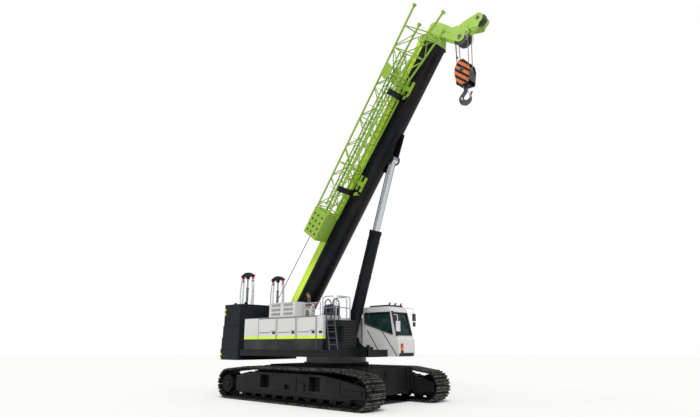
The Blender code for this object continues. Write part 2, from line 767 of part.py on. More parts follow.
def build_roof_rail():
    roof = HOUSE_TOP + SEAT
    members = rail_loop([(-0.16, -1.42), (0.20, -1.42), (0.60, -1.42)], roof, 3.24, 3.03)
    framework("roof_hand_rail", members, "forged_steel", upper)


# ---- cab ------------------------------------------------------------------------------------------
CAB_FRONT_LOW = 2.30
CAB_NOSE = 2.35
CAB_WAIST = (2.28, 2.15)
CAB_BROW = (2.07, 2.99)
CAB_ROOF = 3.15
CAB_LEFT = CAB_RIGHT + CAB_WIDTH


def cab_outline(depth):
    """The cab from the side, at a depth inside its skin."""
    return [
        (CAB_REAR + depth, CAB_LOW + depth),
        (CAB_FRONT_LOW - depth * 0.8, CAB_LOW + depth),
        (CAB_NOSE - depth, 1.58 + depth * 0.2),
        (CAB_NOSE - depth, 2.02),
        (CAB_WAIST[0] - depth, CAB_WAIST[1]),
        (CAB_BROW[0] - depth, CAB_BROW[1] - depth * 0.5),
        (1.96 - depth * 0.5, CAB_ROOF - depth),
        (CAB_REAR + 0.10, CAB_ROOF - depth),
        (CAB_REAR + depth, CAB_ROOF - 0.10 - depth * 0.2),
    ]


def screen_outline(margin):
    """The windscreen's place in the front wall, as a slanted strip seen from the side."""
    (x0, z0), (x1, z1) = CAB_WAIST, CAB_BROW
    length = math.dist(CAB_WAIST, CAB_BROW)
    ax, az = (x1 - x0) / length, (z1 - z0) / length
    low = (x0 + ax * (0.05 + margin), z0 + az * (0.05 + margin))
    high = (x1 - ax * (0.05 + margin), z1 - az * (0.05 + margin))
    return low, high, (az, -ax)


RIGHT_WINDOW = [(0.90, 2.60), (2.12, 2.21), (2.01, 2.95), (0.90, 2.95)]
DOOR_WINDOW = [(1.06, 2.08), (1.90, 1.96), (1.90, 2.93), (1.06, 2.93)]
DOOR_OUTLINE = [(0.96, 1.56), (1.98, 1.56), (1.98, 3.00), (0.96, 3.00)]
DOOR_PANE = 0.0005


def shrunk(outline, margin):
    """The outline with each edge moved inwards by a margin; it is convex and runs anticlockwise."""
    count = len(outline)
    moved = []
    for i in range(count):
        before, here, after = (Vector(outline[(i + k) % count]) for k in (-1, 0, 1))
        first = (here - before).normalized()
        second = (after - here).normalized()
        normal_a = Vector((-first.y, first.x))
        normal_b = Vector((-second.y, second.x))
        bisector = (normal_a + normal_b).normalized()
        moved.append(tuple(here + bisector * margin / bisector.dot(normal_a)))
    return moved


def strip(low, high, normal, start, stop):
    """A thin parallelogram along a slanted line, from a start to a stop depth along its normal."""
    return [
        (low[0] + normal[0] * start, low[1] + normal[1] * start),
        (low[0] + normal[0] * stop, low[1] + normal[1] * stop),
        (high[0] + normal[0] * stop, high[1] + normal[1] * stop),
        (high[0] + normal[0] * start, high[1] + normal[1] * start),
    ]


def build_cab():
    skin = side_plate([cab_outline(0)], (CAB_RIGHT, CAB_LEFT))
    made = piece("cab_shell", skin, "grey_paint", upper)
    room = (CAB_RIGHT + CAB_WALL, CAB_LEFT - CAB_WALL)
    cut(made, side_plate([cab_outline(CAB_WALL)], room))
    cut(made, side_plate([RIGHT_WINDOW], (CAB_RIGHT - 0.1, CAB_RIGHT + CAB_WALL + 0.02)))
    cut(made, side_plate([DOOR_OUTLINE], (CAB_LEFT - CAB_WALL - 0.02, CAB_LEFT + 0.1)))
    screen = (room[0] + 0.03, room[1] - 0.03)
    low, high, normal = screen_outline(0)
    cut(made, side_plate([strip(low, high, normal, -0.12, 0.08)], screen))
    rear_x = (CAB_REAR - 0.1, CAB_REAR + CAB_WALL + 0.02)
    cut(made, block(rear_x, (room[0] + 0.12, room[1] - 0.12), (2.35, 2.90)))
    hatch = ((1.10, 1.88), (room[0] + 0.10, room[1] - 0.10))
    cut(made, block(*hatch, (CAB_ROOF - 0.10, CAB_ROOF + 0.1)))
    gap = DOOR_PANE
    low, high, normal = screen_outline(gap)
    pane = strip(low, high, normal, -0.030, -0.030 + GLASS)
    piece("windscreen", side_plate([pane], (screen[0] + gap, screen[1] - gap)), "tinted_glass", upper)
    right = (CAB_RIGHT + 0.015, CAB_RIGHT + 0.015 + GLASS)
    piece("cab_glass_right", side_plate([shrunk(RIGHT_WINDOW, gap)], right), "tinted_glass", upper)
    back = block(
        (CAB_REAR + 0.02, CAB_REAR + 0.02 + GLASS),
        (room[0] + 0.12 + gap, room[1] - 0.12 - gap),
        (2.35 + gap, 2.90 - gap),
    )
    piece("cab_glass_rear", back, "tinted_glass", upper)
    lid = block((1.04, 1.94), (room[0] + 0.04, room[1] - 0.04), (CAB_ROOF + SEAT, CAB_ROOF + 0.05))
    piece("cab_roof_hatch", lid, "house_paint", upper)
    build_mirror(made)


def build_cab_door():
    hinge_x = DOOR_OUTLINE[0][0] + RUN
    pivot = empty("cab_door_hinge", (hinge_x, CAB_LEFT, 0), upper)
    outline = [(x - hinge_x, z) for x, z in shrunk(DOOR_OUTLINE, RUN)]
    window = [(x - hinge_x, z) for x, z in DOOR_WINDOW]
    made = piece("cab_door", side_plate([outline], (-CAB_WALL, 0)), "grey_paint", pivot)
    cut(made, side_plate([window], (-CAB_WALL - 0.05, 0.05)))
    for z in (1.80, 2.72):
        unite(made, rod((-RUN + SEAT, -CAB_WALL / 2, z), (0.04, -CAB_WALL / 2, z), 0.014, 10))
    glass = side_plate([shrunk(window, DOOR_PANE)], (-0.03, -0.03 + GLASS))
    piece("cab_door_glass", glass, "tinted_glass", pivot)


def build_cab_interior():
    floor = CAB_LOW + CAB_WALL + SEAT
    y = CAB_RIGHT + CAB_WIDTH / 2
    cushion = block((1.10, 1.60), (y - 0.24, y + 0.24), (floor + 0.38, floor + 0.50))
    seat = piece("operator_seat", cushion, "seat_cloth", upper)
    back = [(1.02, floor + 0.42), (1.16, floor + 0.42), (1.06, floor + 1.15), (0.94, floor + 1.15)]
    unite(seat, side_plate([back], (y - 0.22, y + 0.22)))
    unite(seat, block((1.18, 1.52), (y - 0.17, y + 0.17), (floor, floor + 0.40)))
    box = block((1.95, 2.20), (y - 0.22, y + 0.22), (floor, floor + 0.55))
    console = piece("control_console", box, "house_paint", upper)
    unite(console, rod((2.02, y, floor + 0.5), (1.92, y, floor + 0.80), 0.03, 12))


def build_mirror(shell):
    """A mirror on a bent arm at the front right pillar."""
    stalk_y = CAB_RIGHT + 0.10
    unite(shell, block((2.33, 2.37), (stalk_y - 0.19, stalk_y + 0.01), (2.30, 2.64)))
    route = [(2.345, stalk_y - 0.10, 2.60), (2.345, stalk_y - 0.10, 2.80), (2.26, stalk_y - 0.04, 2.86)]
    route += [(2.14, stalk_y - 0.055, 2.86), (2.06, stalk_y - 0.06, 2.86)]
    unite(shell, pipe(route, 0.014, 8))


# ---- boom -----------------------------------------------------------------------------------------
def section_outline(height, width, inset_depth):
    """A boom section in y and n: flat top with bent corners, and a round underside."""
    half = width / 2 - inset_depth
    top = height / 2 - inset_depth
    low = -height / 2 + inset_depth
    corner = 0.10
    belly = 0.30
    points = [(half, low + belly), (half, top - corner), (half - corner * 0.7, top)]
    points += [(corner * 0.7 - half, top), (-half, top - corner), (-half, low + belly)]
    for i in range(1, 10):
        turn = math.pi + math.pi * i / 10
        points.append((half * math.cos(turn), low + belly + belly * math.sin(turn)))
    return points


def section_size(index):
    """Height and width of a boom section; the base section is number 1."""
    step = 2 * SECTION_STEP * (index - 1)
    return BOOM_HEIGHT - step, BOOM_WIDTH - step


def section_end(index):
    return BASE_END + SECTION_PROUD * (index - 1)


def build_section(index, extras=()):
    """One tube of the boom with its end collar; what is welded outside comes before its hollow."""
    height, width = section_size(index)
    name = "boom_base" if index == 1 else f"boom_section_{index}"
    start = BOOM_REAR if index == 1 else 0.45 + 0.08 * index
    end = section_end(index)
    finish = "boom_paint" if index == 1 else "green_paint"
    made = piece(name, cross_plate([section_outline(height, width, 0)], (start, end)), finish, boom)
    collar = section_outline(height, width, -COLLAR)
    unite(made, cross_plate([collar], (end - COLLAR_LENGTH, end + COLLAR_LIP)), *extras)
    if index > 1:
        band = section_outline(height, width, BOOM_WALL + SEAT - SECTION_STEP)
        unite(made, cross_plate([band], (start, start + WEAR_BAND)))
    hollow = section_outline(height, width, BOOM_WALL)
    cut(made, cross_plate([hollow], (start - 0.1, end + 0.1)))
    return made


def jib_clamps():
    """Two brackets on the boom's side that hold the stowed jib by its far chords."""
    skin = BOOM_WIDTH / 2 - BOOM_WALL / 2
    reach = -JIB_FAR_Y - JIB_CHORD - RUN
    made = []
    for u in CLAMP_PLACES:
        low = jib_chord(False, False, u)
        arm = [(u - 0.16, low - 0.30), (u + 0.16, low - 0.30), (u + 0.10, 0.30), (u - 0.10, 0.30)]
        made.append(side_plate([arm], (-reach, -skin)))
        top = low - JIB_CHORD - SEAT
        along = (u - 0.10, u + 0.10)
        made.append(block(along, (JIB_NEAR_Y - 0.05, -reach + 0.01), (top - 0.05, top)))
        made.append(block(along, (JIB_NEAR_Y - 0.09, JIB_NEAR_Y - 0.045), (top - 0.05, top + 0.12)))
    return made


def build_boom():
    extras = jib_clamps()
    reach = BRACKET_INNER - SEAT
    u, n = CYLINDER_PIN_U, CYLINDER_PIN_N
    skin = -BOOM_HEIGHT / 2 + 0.06
    cheek = [(u - 0.55, skin), (u - 0.55, skin - 0.10)] + arc(u, n, 0.17, 190, 350, 8)
    cheek += [(u + 0.95, skin - 0.10), (u + 0.95, skin)]
    for side in (-1, 1):
        extras.append(side_plate([cheek], mirrored((0.155, 0.195), side)))
    extras.append(disc(0, 0, (-reach, reach), FOOT_BOSS, 24))
    build_section(1, extras)
    for index in range(2, SECTION_COUNT + 1):
        build_section(index)


def build_head():
    """The head plates with a swan neck to the single-line sheave, closing the inner section."""
    height, width = section_size(SECTION_COUNT)
    end = section_end(SECTION_COUNT)
    seat = end + COLLAR_LIP + SEAT
    block_end = end + 0.10
    su, sn = HEAD_SHEAVE
    ru, rn = ROOSTER
    plate = [(seat, height / 2), (seat, -height / 2 - 0.04)]
    plate += arc(su, sn, 0.17, 178, 300, 6)
    plate += [(su + 0.30, sn - 0.10), (ru - 0.26, rn - 0.16)]
    plate += arc(ru, rn, 0.17, 230, 420, 8)
    plate += [(12.42, -0.98), (12.22, -0.84), (12.10, -0.62)]
    plate += [(12.14, -0.20), (12.14, 0.20), (12.02, height / 2)]
    made = None
    for side in (-1, 1):
        data = side_plate([plate], mirrored((HEAD_HALF - PLATE, HEAD_HALF), side))
        if made is None:
            made = piece("boom_head", data, "green_paint", boom)
        else:
            unite(made, data)
    cap = [section_outline(height, width, 0)]
    unite(made, cross_plate(cap, (seat, block_end)))
    unite(made, block((block_end - 0.02, 12.10), (-HEAD_HALF + 0.01, HEAD_HALF - 0.01), (0.12, 0.20)))
    inner = HEAD_HALF - PLATE + 0.005
    unite(made, disc(12.28, -1.03, (-inner, inner), 0.035, 12))
    unite(made, disc(su, sn, (-inner, inner), 0.05, 16))
    unite(made, disc(ru, rn, (-inner, inner), 0.04, 16))


def build_head_sheaves():
    su, sn = HEAD_SHEAVE
    head_axis = empty("head_sheave_axis", (su, 0, sn), boom)
    half = HEAD_HALF - PLATE - 0.006
    profile_rim(head_axis, "head_sheaves", half, HEAD_SHEAVE_RADIUS, (-FALL_SPACING, FALL_SPACING), 0.0508)
    ru, rn = ROOSTER
    rooster_axis = empty("single_line_sheave_axis", (ru, 0, rn), boom)
    profile_rim(rooster_axis, "single_line_sheave", 0.06, ROOSTER_RADIUS, (0,), 0.0408)


def profile_rim(pivot, name, half, radius, grooves, bore):
    """A turned sheave round the y axis with rope grooves and a bore for its axle."""
    depth = ROPE_RADIUS + GROOVE_RISE
    outline = [(bore, -half), (radius - 0.06, -half)]
    for groove in grooves:
        outline += [(radius, groove - 0.045), (radius, groove - 0.03), (radius - depth, groove - 0.016)]
        outline += [(radius - depth, groove + 0.016), (radius, groove + 0.03), (radius, groove + 0.045)]
        if groove != grooves[-1]:
            outline += [(radius - 0.06, groove + 0.07), (radius - 0.06, -groove - 0.07)]
    outline += [(radius - 0.06, half), (bore, half)]
    work = bmesh.new()
    verts = [work.verts.new((r, y, 0)) for r, y in outline]
    edges = [work.edges.new((verts[i - 1], verts[i])) for i in range(len(verts))]
    steps = 32
    bmesh.ops.spin(
        work, geom=verts + edges, cent=(0, 0, 0), axis=(0, 1, 0), angle=math.tau, steps=steps, use_merge=True
    )
    bmesh.ops.remove_doubles(work, verts=work.verts, dist=0.00005)
    piece(name, from_bmesh(work), "forged_steel", pivot)


def build_cylinder():
    """The barrel's eye lies at the deck bracket, and the rod's eye at the boom's cheeks.

    With the boom level, the rod's end stops just short of the bottom of the bore.
    """
    length = CYLINDER_LENGTH
    foot = -length
    barrel = piece(
        "luff_cylinder_barrel",
        rod((foot + 0.16, 0, 0), (foot + BARREL_LENGTH, 0, 0), BARREL_RADIUS, 32),
        "boom_paint",
        cylinder,
    )
    unite(barrel, disc(foot, 0, (-0.17, 0.17), 0.20, 28))
    unite(barrel, block((foot, foot + 0.25), (-0.165, 0.165), (-0.14, 0.14)))
    gland = foot + BARREL_LENGTH - 0.13
    unite(barrel, rod((gland, 0, 0), (gland + 0.15, 0, 0), BARREL_RADIUS + GLAND_PROUD, 32))
    bore = ROD_RADIUS + BORE_PLAY
    cut(barrel, rod((foot + BORE_START, 0, 0), (foot + BARREL_LENGTH + 0.2, 0, 0), bore, ROD_SIDES))
    rod_end = BORE_START + 0.04 - CYLINDER_SHORTEST
    shaft = rod((rod_end, 0, 0), (-0.10, 0, 0), ROD_RADIUS, ROD_SIDES)
    made = piece("luff_cylinder_rod", shaft, "chrome", cylinder)
    unite(made, disc(0, 0, (-0.155 + SEAT, 0.155 - SEAT), 0.15, 32))


# ---- lattice jib ----------------------------------------------------------------------------------
JIB_NEAR_Y = -0.98
JIB_FAR_Y = -0.46
JIB_LOW = 4.50
JIB_BOX_LOW = 3.45
JIB_CHORD = 0.036
JIB_FLARE = 9.9
JIB_TIP_NEAR = 12.28
JIB_TIP_FAR = 11.84
JIB_BAYS = 9
CLAMP_PLACES = (5.55, 9.30)
SADDLE_HALF = 0.08
BRACE_OFFSET = 0.0037


def jib_chord(top, near, u):
    """n of a chord at u. The chords are parallel along the jib and spread at its root."""
    flare = max(0.0, u - JIB_FLARE) / 2.2
    if top:
        return 0.72 - (0.0 if near else 0.12 * flare)
    share = (u - JIB_BOX_LOW) / (JIB_FLARE - JIB_BOX_LOW)
    return 0.06 - 0.18 * min(1.0, share) - 0.48 * flare


def chord_point(top, near, u):
    y = JIB_NEAR_Y if near else JIB_FAR_Y
    return (u, y, jib_chord(top, near, u))


def jib_brace(start, finish, radius):
    """A brace between two chord points, a little off their centre lines as its weld sets it."""
    offset = Vector((0, BRACE_OFFSET, BRACE_OFFSET))
    return rod(Vector(start) + offset, Vector(finish) + offset, radius, 5)


def jib_bay(i, u, after):
    """The diagonals of one bay: one in each side, top and bottom face."""
    flip = i % 2 == 0
    made = []
    for near in (True, False):
        low, high = chord_point(flip, near, u + 0.03), chord_point(not flip, near, after - 0.03)
        made.append(jib_brace(low, high, 0.019))
    for top in (True, False):
        low, high = chord_point(top, flip == top, u + 0.07), chord_point(top, flip != top, after - 0.07)
        made.append(jib_brace(low, high, 0.017))
    return made


def build_jib():
    members = []
    for top in (True, False):
        for near in (True, False):
            tip = JIB_TIP_NEAR if near else JIB_TIP_FAR
            route = [chord_point(top, near, u) for u in (JIB_LOW - 0.10, JIB_FLARE, tip)]
            members.append(pipe(route, JIB_CHORD, 6))
            eye = chord_point(top, near, tip)
            members.append(rod((tip, eye[1] - 0.05, eye[2]), (tip, eye[1] + 0.05, eye[2]), 0.055, 10))
    for u in CLAMP_PLACES:
        low = jib_chord(False, False, u)
        for y in (JIB_NEAR_Y, JIB_FAR_Y):
            saddle = (low - JIB_CHORD, low - 0.004)
            members.append(block((u - SADDLE_HALF, u + SADDLE_HALF), (y - 0.027, y + 0.029), saddle))
    first = JIB_LOW + 0.08
    stations = [first + (JIB_FLARE - first) * i / JIB_BAYS for i in range(JIB_BAYS + 1)]
    stations += [10.75, 11.55]
    for i, u in enumerate(stations):
        if i % 3 == 0 or i >= JIB_BAYS:
            for side in (True, False):
                members.append(jib_brace(chord_point(True, side, u), chord_point(False, side, u), 0.022))
                members.append(jib_brace(chord_point(side, True, u), chord_point(side, False, u), 0.020))
        if i + 1 < len(stations):
            members += jib_bay(i, u, stations[i + 1])
    jib = framework("lattice_jib", members, "green_paint", boom)
    box_n = (jib_chord(False, True, JIB_BOX_LOW) - 0.02, 0.76)
    box_y = (JIB_NEAR_Y - 0.045, JIB_FAR_Y + 0.03)
    wall = 0.03
    unite(jib, block((JIB_BOX_LOW, JIB_LOW), box_y, box_n))
    room = (JIB_BOX_LOW - 0.1, JIB_LOW - wall)
    hollow_n = (box_n[0] + wall, box_n[1] - wall)
    cut(jib, block(room, (box_y[0] + wall, box_y[1] - wall), hollow_n))


# ---- hook block -----------------------------------------------------------------------------------
def build_hook():
    drop = -BLOCK_DROP
    steps = 14
    fit = math.cos(math.pi / (2 * steps))
    groove = (HEAD_SHEAVE_RADIUS - GROOVE_RISE + SEAT) / fit
    lower_groove = (BLOCK_SHEAVE_RADIUS - GROOVE_RISE + SEAT) / fit
    for label, y in (("right", -FALL_SPACING), ("left", FALL_SPACING)):
        over = [(x, y, z) for x, z in arc(0, 0, groove, 0, 180, steps)]
        under = [(x, y, z) for x, z in arc(0, drop, lower_groove, 180, 360, steps)]
        loop = pipe(over + under, ROPE_RADIUS, 8, cyclic=True)
        piece("hoist_rope_" + label, loop, "wire_rope", hook_frame)
    w = BLOCK_HALF_WIDTH
    cheek = [(0.10, drop + 0.36), (-0.10, drop + 0.36), (-w + 0.03, drop + 0.16), (-w, drop - 0.05)]
    cheek += [(-w + 0.07, drop - 0.50), (w - 0.07, drop - 0.50), (w, drop - 0.05), (w - 0.03, drop + 0.16)]
    made = None
    for side in (-1, 1):
        data = side_plate([cheek], mirrored((0.205, 0.235), side))
        if made is None:
            made = piece("hook_block", data, "hook_paint", hook_frame)
        else:
            unite(made, data)
    unite(made, disc(0, drop, (-0.21, 0.21), 0.045, 16))
    unite(made, block((-0.12, 0.12), (-0.21, 0.21), (drop - 0.50, drop - 0.36)))
    cut(made, rod((0, 0, drop - 0.6), (0, 0, drop - 0.3), 0.056 + BORE_PLAY, 20))
    sheave_axis = empty("hook_block_sheave_axis", (0, 0, drop), hook_frame)
    grooves = (-FALL_SPACING, FALL_SPACING)
    profile_rim(sheave_axis, "hook_block_sheaves", 0.19, BLOCK_SHEAVE_RADIUS, grooves, 0.0458)
    swivel = empty("hook_swivel", (0, 0, drop), hook_frame)
    shank = piece("hook", rod((0, 0, -0.58), (0, 0, -0.33), 0.056, 20), "forged_steel", swivel)
    unite(shank, rod((0, 0, -0.36 + 2 * SEAT), (0, 0, -0.31), 0.095, 20))
    cx, cz, radius = -0.02, -0.92, 0.165
    route = [(0, 0, -0.52, 1.0), (0, 0, -0.62, 1.0), (-0.05, 0, -0.72, 1.05)]
    for i in range(15):
        turn = math.radians(130 + 250 * i / 14)
        share = i / 14
        thick = 1.0 + 0.75 * math.sin(math.pi * min(1.0, share * 1.1)) - 0.45 * share
        route.append((cx + radius * math.cos(turn), 0, cz + radius * math.sin(turn), thick))
    route.append((cx + radius + 0.06, 0, cz + 0.16, 0.45))
    unite(shank, pipe(route, HOOK_TUBE, 10))


# ---- assembly -------------------------------------------------------------------------------------
build_carbody()
build_slew_ring()
for label, side in (("right", -1), ("left", 1)):
    build_track(label, side)
    build_track_wheels(label, side)
    build_track_frame(label, side)
build_deck()
build_boom_bracket()
for winch in WINCHES:
    build_winch(*winch)
build_house("right", -1, HOUSE_FRONT)
build_house("left", 1, CAB_REAR - 0.20)
build_counterweight()
build_lifts()
build_roof_gear()
build_front_cabinet()
build_ladder()
build_roof_rail()
build_cab()
build_cab_door()
build_cab_interior()
build_boom()
build_head()
build_head_sheaves()
build_cylinder()
build_jib()
build_hook()
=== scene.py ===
"""Looks of a telescopic-boom crawler crane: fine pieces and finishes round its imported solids.

Metres, +Z up, +X to the front. Joints and boxes come from the frame that is loaded first, and
small offsets from them are written where they are used.
"""

import json
import math

import bmesh
import bpy
from mathutils import Matrix, Vector


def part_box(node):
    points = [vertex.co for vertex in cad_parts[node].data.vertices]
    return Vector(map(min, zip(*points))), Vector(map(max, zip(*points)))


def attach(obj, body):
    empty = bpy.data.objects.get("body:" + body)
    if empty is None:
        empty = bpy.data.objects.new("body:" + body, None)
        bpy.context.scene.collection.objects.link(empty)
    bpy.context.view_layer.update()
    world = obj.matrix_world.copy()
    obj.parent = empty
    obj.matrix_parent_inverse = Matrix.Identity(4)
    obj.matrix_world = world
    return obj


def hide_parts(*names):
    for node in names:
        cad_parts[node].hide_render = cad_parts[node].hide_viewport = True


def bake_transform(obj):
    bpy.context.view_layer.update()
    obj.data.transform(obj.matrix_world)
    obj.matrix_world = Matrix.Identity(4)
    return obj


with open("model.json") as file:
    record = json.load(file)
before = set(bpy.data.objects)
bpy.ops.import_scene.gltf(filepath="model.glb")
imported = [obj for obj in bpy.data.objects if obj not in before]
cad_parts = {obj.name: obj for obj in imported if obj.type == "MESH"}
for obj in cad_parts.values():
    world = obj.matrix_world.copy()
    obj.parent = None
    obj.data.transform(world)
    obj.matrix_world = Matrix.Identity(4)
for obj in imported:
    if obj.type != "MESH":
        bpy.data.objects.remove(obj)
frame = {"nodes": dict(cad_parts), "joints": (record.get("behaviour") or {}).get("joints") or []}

bl_info = {
    "name": "Crawler Crane Looks",
    "version": (1, 0, 0),
    "blender": (4, 5, 0),
    "location": "View3D > Sidebar > Crane",
    "description": "Adds the fine pieces and finishes of a crawler crane",
    "category": "Object",
}

NODES = frame["nodes"]
JOINTS = {joint["name"]: joint for joint in frame["joints"]}
UPPER = "upperstructure"
UNDER = "undercarriage"

# ---- sizes shared by several pieces ----
CLEAR = 0.0005  # air under a piece that stands on another one
CAB_ROOF = 3.15  # heights over the ground
DECK_TOP = 1.70
DECK_SIDE = 1.5  # half the deck's width
BOOM_SIDE = 0.36  # half the boom's width
BOOM_RUN = (0.6, 11.2)  # along the boom, for what runs along the whole base
COLLAR = 11.4015  # the front face of the base's collar, along the boom
COLLAR_STEP = 0.075  # from one collar's face to the next
CHEEK = 0.235  # half the width over the plates of the head and of the hook block
SMALL_BOLT = (0.016, 0.014)  # radius and height
DRUM_RADIUS = 0.20
LADDER_RISE = 1.55
LADDER_LEAN = -0.24  # of its top, towards the rear
LADDER_WIDTH = 0.36
DUST = "#8c8576"  # the colour of dust on light surfaces
STRIPE_PITCH = 0.235  # of the warning stripes on the hook block
THREAD_PITCH = 0.006  # of a pair of threads in the seat's cloth
FLUTE_PITCH = 0.012  # of the flutes in a lamp's lens

# ---- places read from the frame ----
SLEW = Vector(JOINTS["slew"]["pos_m"])
BOOM_FOOT = Vector(JOINTS["boom_luff"]["pos_m"])
BOOM_ALONG = Vector(JOINTS["telescope_2"]["axis"]).normalized()
BOOM_UP = Vector((-BOOM_ALONG.z, 0, BOOM_ALONG.x))
CYLINDER_PIN = Vector(JOINTS["rod_eye"]["pos_m"])
CYLINDER_DOWN = Vector(JOINTS["rod_stroke"]["axis"]).normalized()
BLOCK_AXLE = Vector(JOINTS["block_sheave_spin"]["pos_m"])
HEAD_AXLE = Vector(JOINTS["head_sheave_spin"]["pos_m"])
TIP_AXLE = Vector(JOINTS["single_line_sheave_spin"]["pos_m"])
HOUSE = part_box("house_right")
DOORS = ("house_right_door_1", "house_right_door_2", "house_right_door_3")
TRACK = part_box("track_right")
IDLER = sum(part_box("idler_right"), Vector()) / 2
SPROCKET = sum(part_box("sprocket_right"), Vector()) / 2


def on_boom(u, n, y=0.0):
    """A point u along and n square to the boom's centre line, at y across."""
    return BOOM_FOOT + BOOM_ALONG * u + BOOM_UP * n + Vector((0, y, 0))


def on_upper(x, y, z):
    """A point with x measured from the slewing axis."""
    return Vector((SLEW.x + x, y, z))


# ---- colours and small node helpers ----
def linear(code):
    """Linear red, green, blue and alpha of an sRGB hex colour."""
    values = [int(code[i : i + 2], 16) / 255 for i in (1, 3, 5)]
    return [v / 12.92 if v <= 0.04045 else ((v + 0.055) / 1.055) ** 2.4 for v in values] + [1.0]


def feed(tree, node, values):
    """Sets the inputs of a node to values, or joins them to sockets."""
    for key, value in values.items():
        if isinstance(value, bpy.types.NodeSocket):
            tree.links.new(value, node.inputs[key])
        else:
            node.inputs[key].default_value = value


def add(tree, kind, values=None, **settings):
    """A node with its settings and its inputs."""
    node = tree.nodes.new(kind)
    for key, value in settings.items():
        setattr(node, key, value)
    feed(tree, node, values or {})
    return node


def new_finish(name):
    """An empty material: its tree, its shader and the object coordinates of the surface."""
    material = bpy.data.materials.new(name)
    material.use_nodes = True
    tree = material.node_tree
    tree.nodes.clear()
    shader = add(tree, "ShaderNodeBsdfPrincipled")
    add(tree, "ShaderNodeOutputMaterial", {"Surface": shader.outputs["BSDF"]})
    return tree, shader, add(tree, "ShaderNodeTexCoord").outputs["Object"]


def reckon(tree, operation, *values):
    """The result of one arithmetic step."""
    return add(tree, "ShaderNodeMath", dict(enumerate(values)), operation=operation).outputs[0]


def along_line(tree, place, way):
    """How far a place lies along a direction."""
    values = {0: place, 1: tuple(way)}
    return add(tree, "ShaderNodeVectorMath", values, operation="DOT_PRODUCT").outputs["Value"]


def parted(tree, place):
    """The X, Y and Z of a place."""
    return add(tree, "ShaderNodeSeparateXYZ", {0: place}).outputs


def blotches(tree, place, scale, detail=3.0, rough=0.6):
    """Soft noise over the surface, from 0 to 1."""
    values = {"Vector": place, "Scale": scale, "Detail": detail, "Roughness": rough}
    return add(tree, "ShaderNodeTexNoise", values).outputs["Fac"]


def ranged(tree, value, low, high, to_low=0.0, to_high=1.0):
    """A value carried from one range to another and kept inside it."""
    values = {0: value, 1: low, 2: high, 3: to_low, 4: to_high}
    return add(tree, "ShaderNodeMapRange", values).outputs[0]


def mixed(tree, share, first, second):
    """A colour between two others."""
    return add(tree, "ShaderNodeMix", {0: share, 6: first, 7: second}, data_type="RGBA").outputs[2]


def rippled(tree, height, strength, distance):
    """The normals of a surface with small heights in it."""
    values = {"Height": height, "Strength": strength, "Distance": distance}
    return add(tree, "ShaderNodeBump", values).outputs[0]


def banded(tree, value, base, limits):
    """Colours that change at limits of a value, from low to high."""
    colour = base
    for limit, code in limits:
        colour = mixed(tree, reckon(tree, "GREATER_THAN", value, limit), colour, linear(code))
    return colour


def worn(tree, shader, place, colour, dust, dust_share, roughness, bump_scale, bump):
    """Dust in soft blotches and low down, and a fine ripple in the surface."""
    broad, fine = blotches(tree, place, 1.3), blotches(tree, place, 22.0, 5.0, 0.7)
    faded = mixed(tree, 0.25, colour, linear(dust))
    shaded = mixed(tree, ranged(tree, broad, 0.35, 0.7, 0.0, 0.35), colour, faded)
    patches = ranged(tree, reckon(tree, "MULTIPLY", broad, fine), 0.22, 0.45, 0.0, dust_share)
    low = ranged(tree, parted(tree, place)["Z"], 2.4, 0.1, 0.35, 1.0)
    dusted = mixed(tree, reckon(tree, "MULTIPLY", patches, low), shaded, linear(dust))
    gloss = ranged(tree, fine, 0.2, 0.8, roughness - 0.07, roughness + 0.13)
    normal = rippled(tree, blotches(tree, place, bump_scale), bump, 0.002)
    feed(tree, shader, {"Base Color": dusted, "Roughness": gloss, "Normal": normal})


def coated(tree, shader, shine, coat, coat_roughness):
    """The clear top coat of an enamel."""
    values = {"Specular IOR Level": shine, "Coat Weight": coat, "Coat Roughness": coat_roughness}
    feed(tree, shader, values)


def enamel(name, code, dust, dust_share, roughness, coat, shine):
    """Sprayed two-coat enamel on steel plate: an even colour and a slight orange peel."""
    tree, shader, place = new_finish(name)
    worn(tree, shader, place, linear(code), dust, dust_share, roughness, 90.0, 0.12)
    coated(tree, shader, shine, coat, 0.12)


def house_enamel(name, looks):
    """Light enamel panels over a bright line and a dark skirt, as on the side of the house."""
    tree, shader, place = new_finish(name)
    limits = [(looks.stripe_low, looks.stripe), (looks.stripe_high, looks.light_paint)]
    colour = banded(tree, parted(tree, place)["Z"], linear(looks.skirt), limits)
    worn(tree, shader, place, colour, DUST, 0.1, 0.36, 90.0, 0.12)
    coated(tree, shader, 0.3, 0.1, 0.1)


def boom_enamel(name, looks):
    """Near-black enamel with a bright band along the upper part of the boom and a grey line."""
    tree, shader, place = new_finish(name)
    values = {0: place, 1: tuple(BOOM_FOOT)}
    offset = add(tree, "ShaderNodeVectorMath", values, operation="SUBTRACT").outputs[0]
    limits = [(looks.line_low, "#1d2229"), (looks.band_low, looks.stripe)]
    colour = banded(tree, along_line(tree, offset, BOOM_UP), linear(looks.boom), limits)
    worn(tree, shader, place, colour, "#4f4c45", 0.05, 0.30, 60.0, 0.15)
    coated(tree, shader, 0.14, 0.03, 0.1)


def block_enamel(name, looks):
    """Warning stripes on the right plate of the hook block and greasy dark paint on the rest."""
    tree, shader, place = new_finish(name)
    sides = parted(tree, place)
    slant = reckon(tree, "MULTIPLY_ADD", sides["X"], 0.90, sides["Z"])
    phase = reckon(tree, "FRACT", reckon(tree, "MULTIPLY", slant, 1 / STRIPE_PITCH))
    striped = banded(tree, phase, linear(looks.block), [(0.55, "#16181c")])
    right = reckon(tree, "LESS_THAN", sides["Y"], -0.20)
    colour = mixed(tree, right, linear("#191a1c"), striped)
    worn(tree, shader, place, colour, "#3b342d", 0.35, 0.5, 60.0, 0.25)
    feed(tree, shader, {"Specular IOR Level": 0.25})


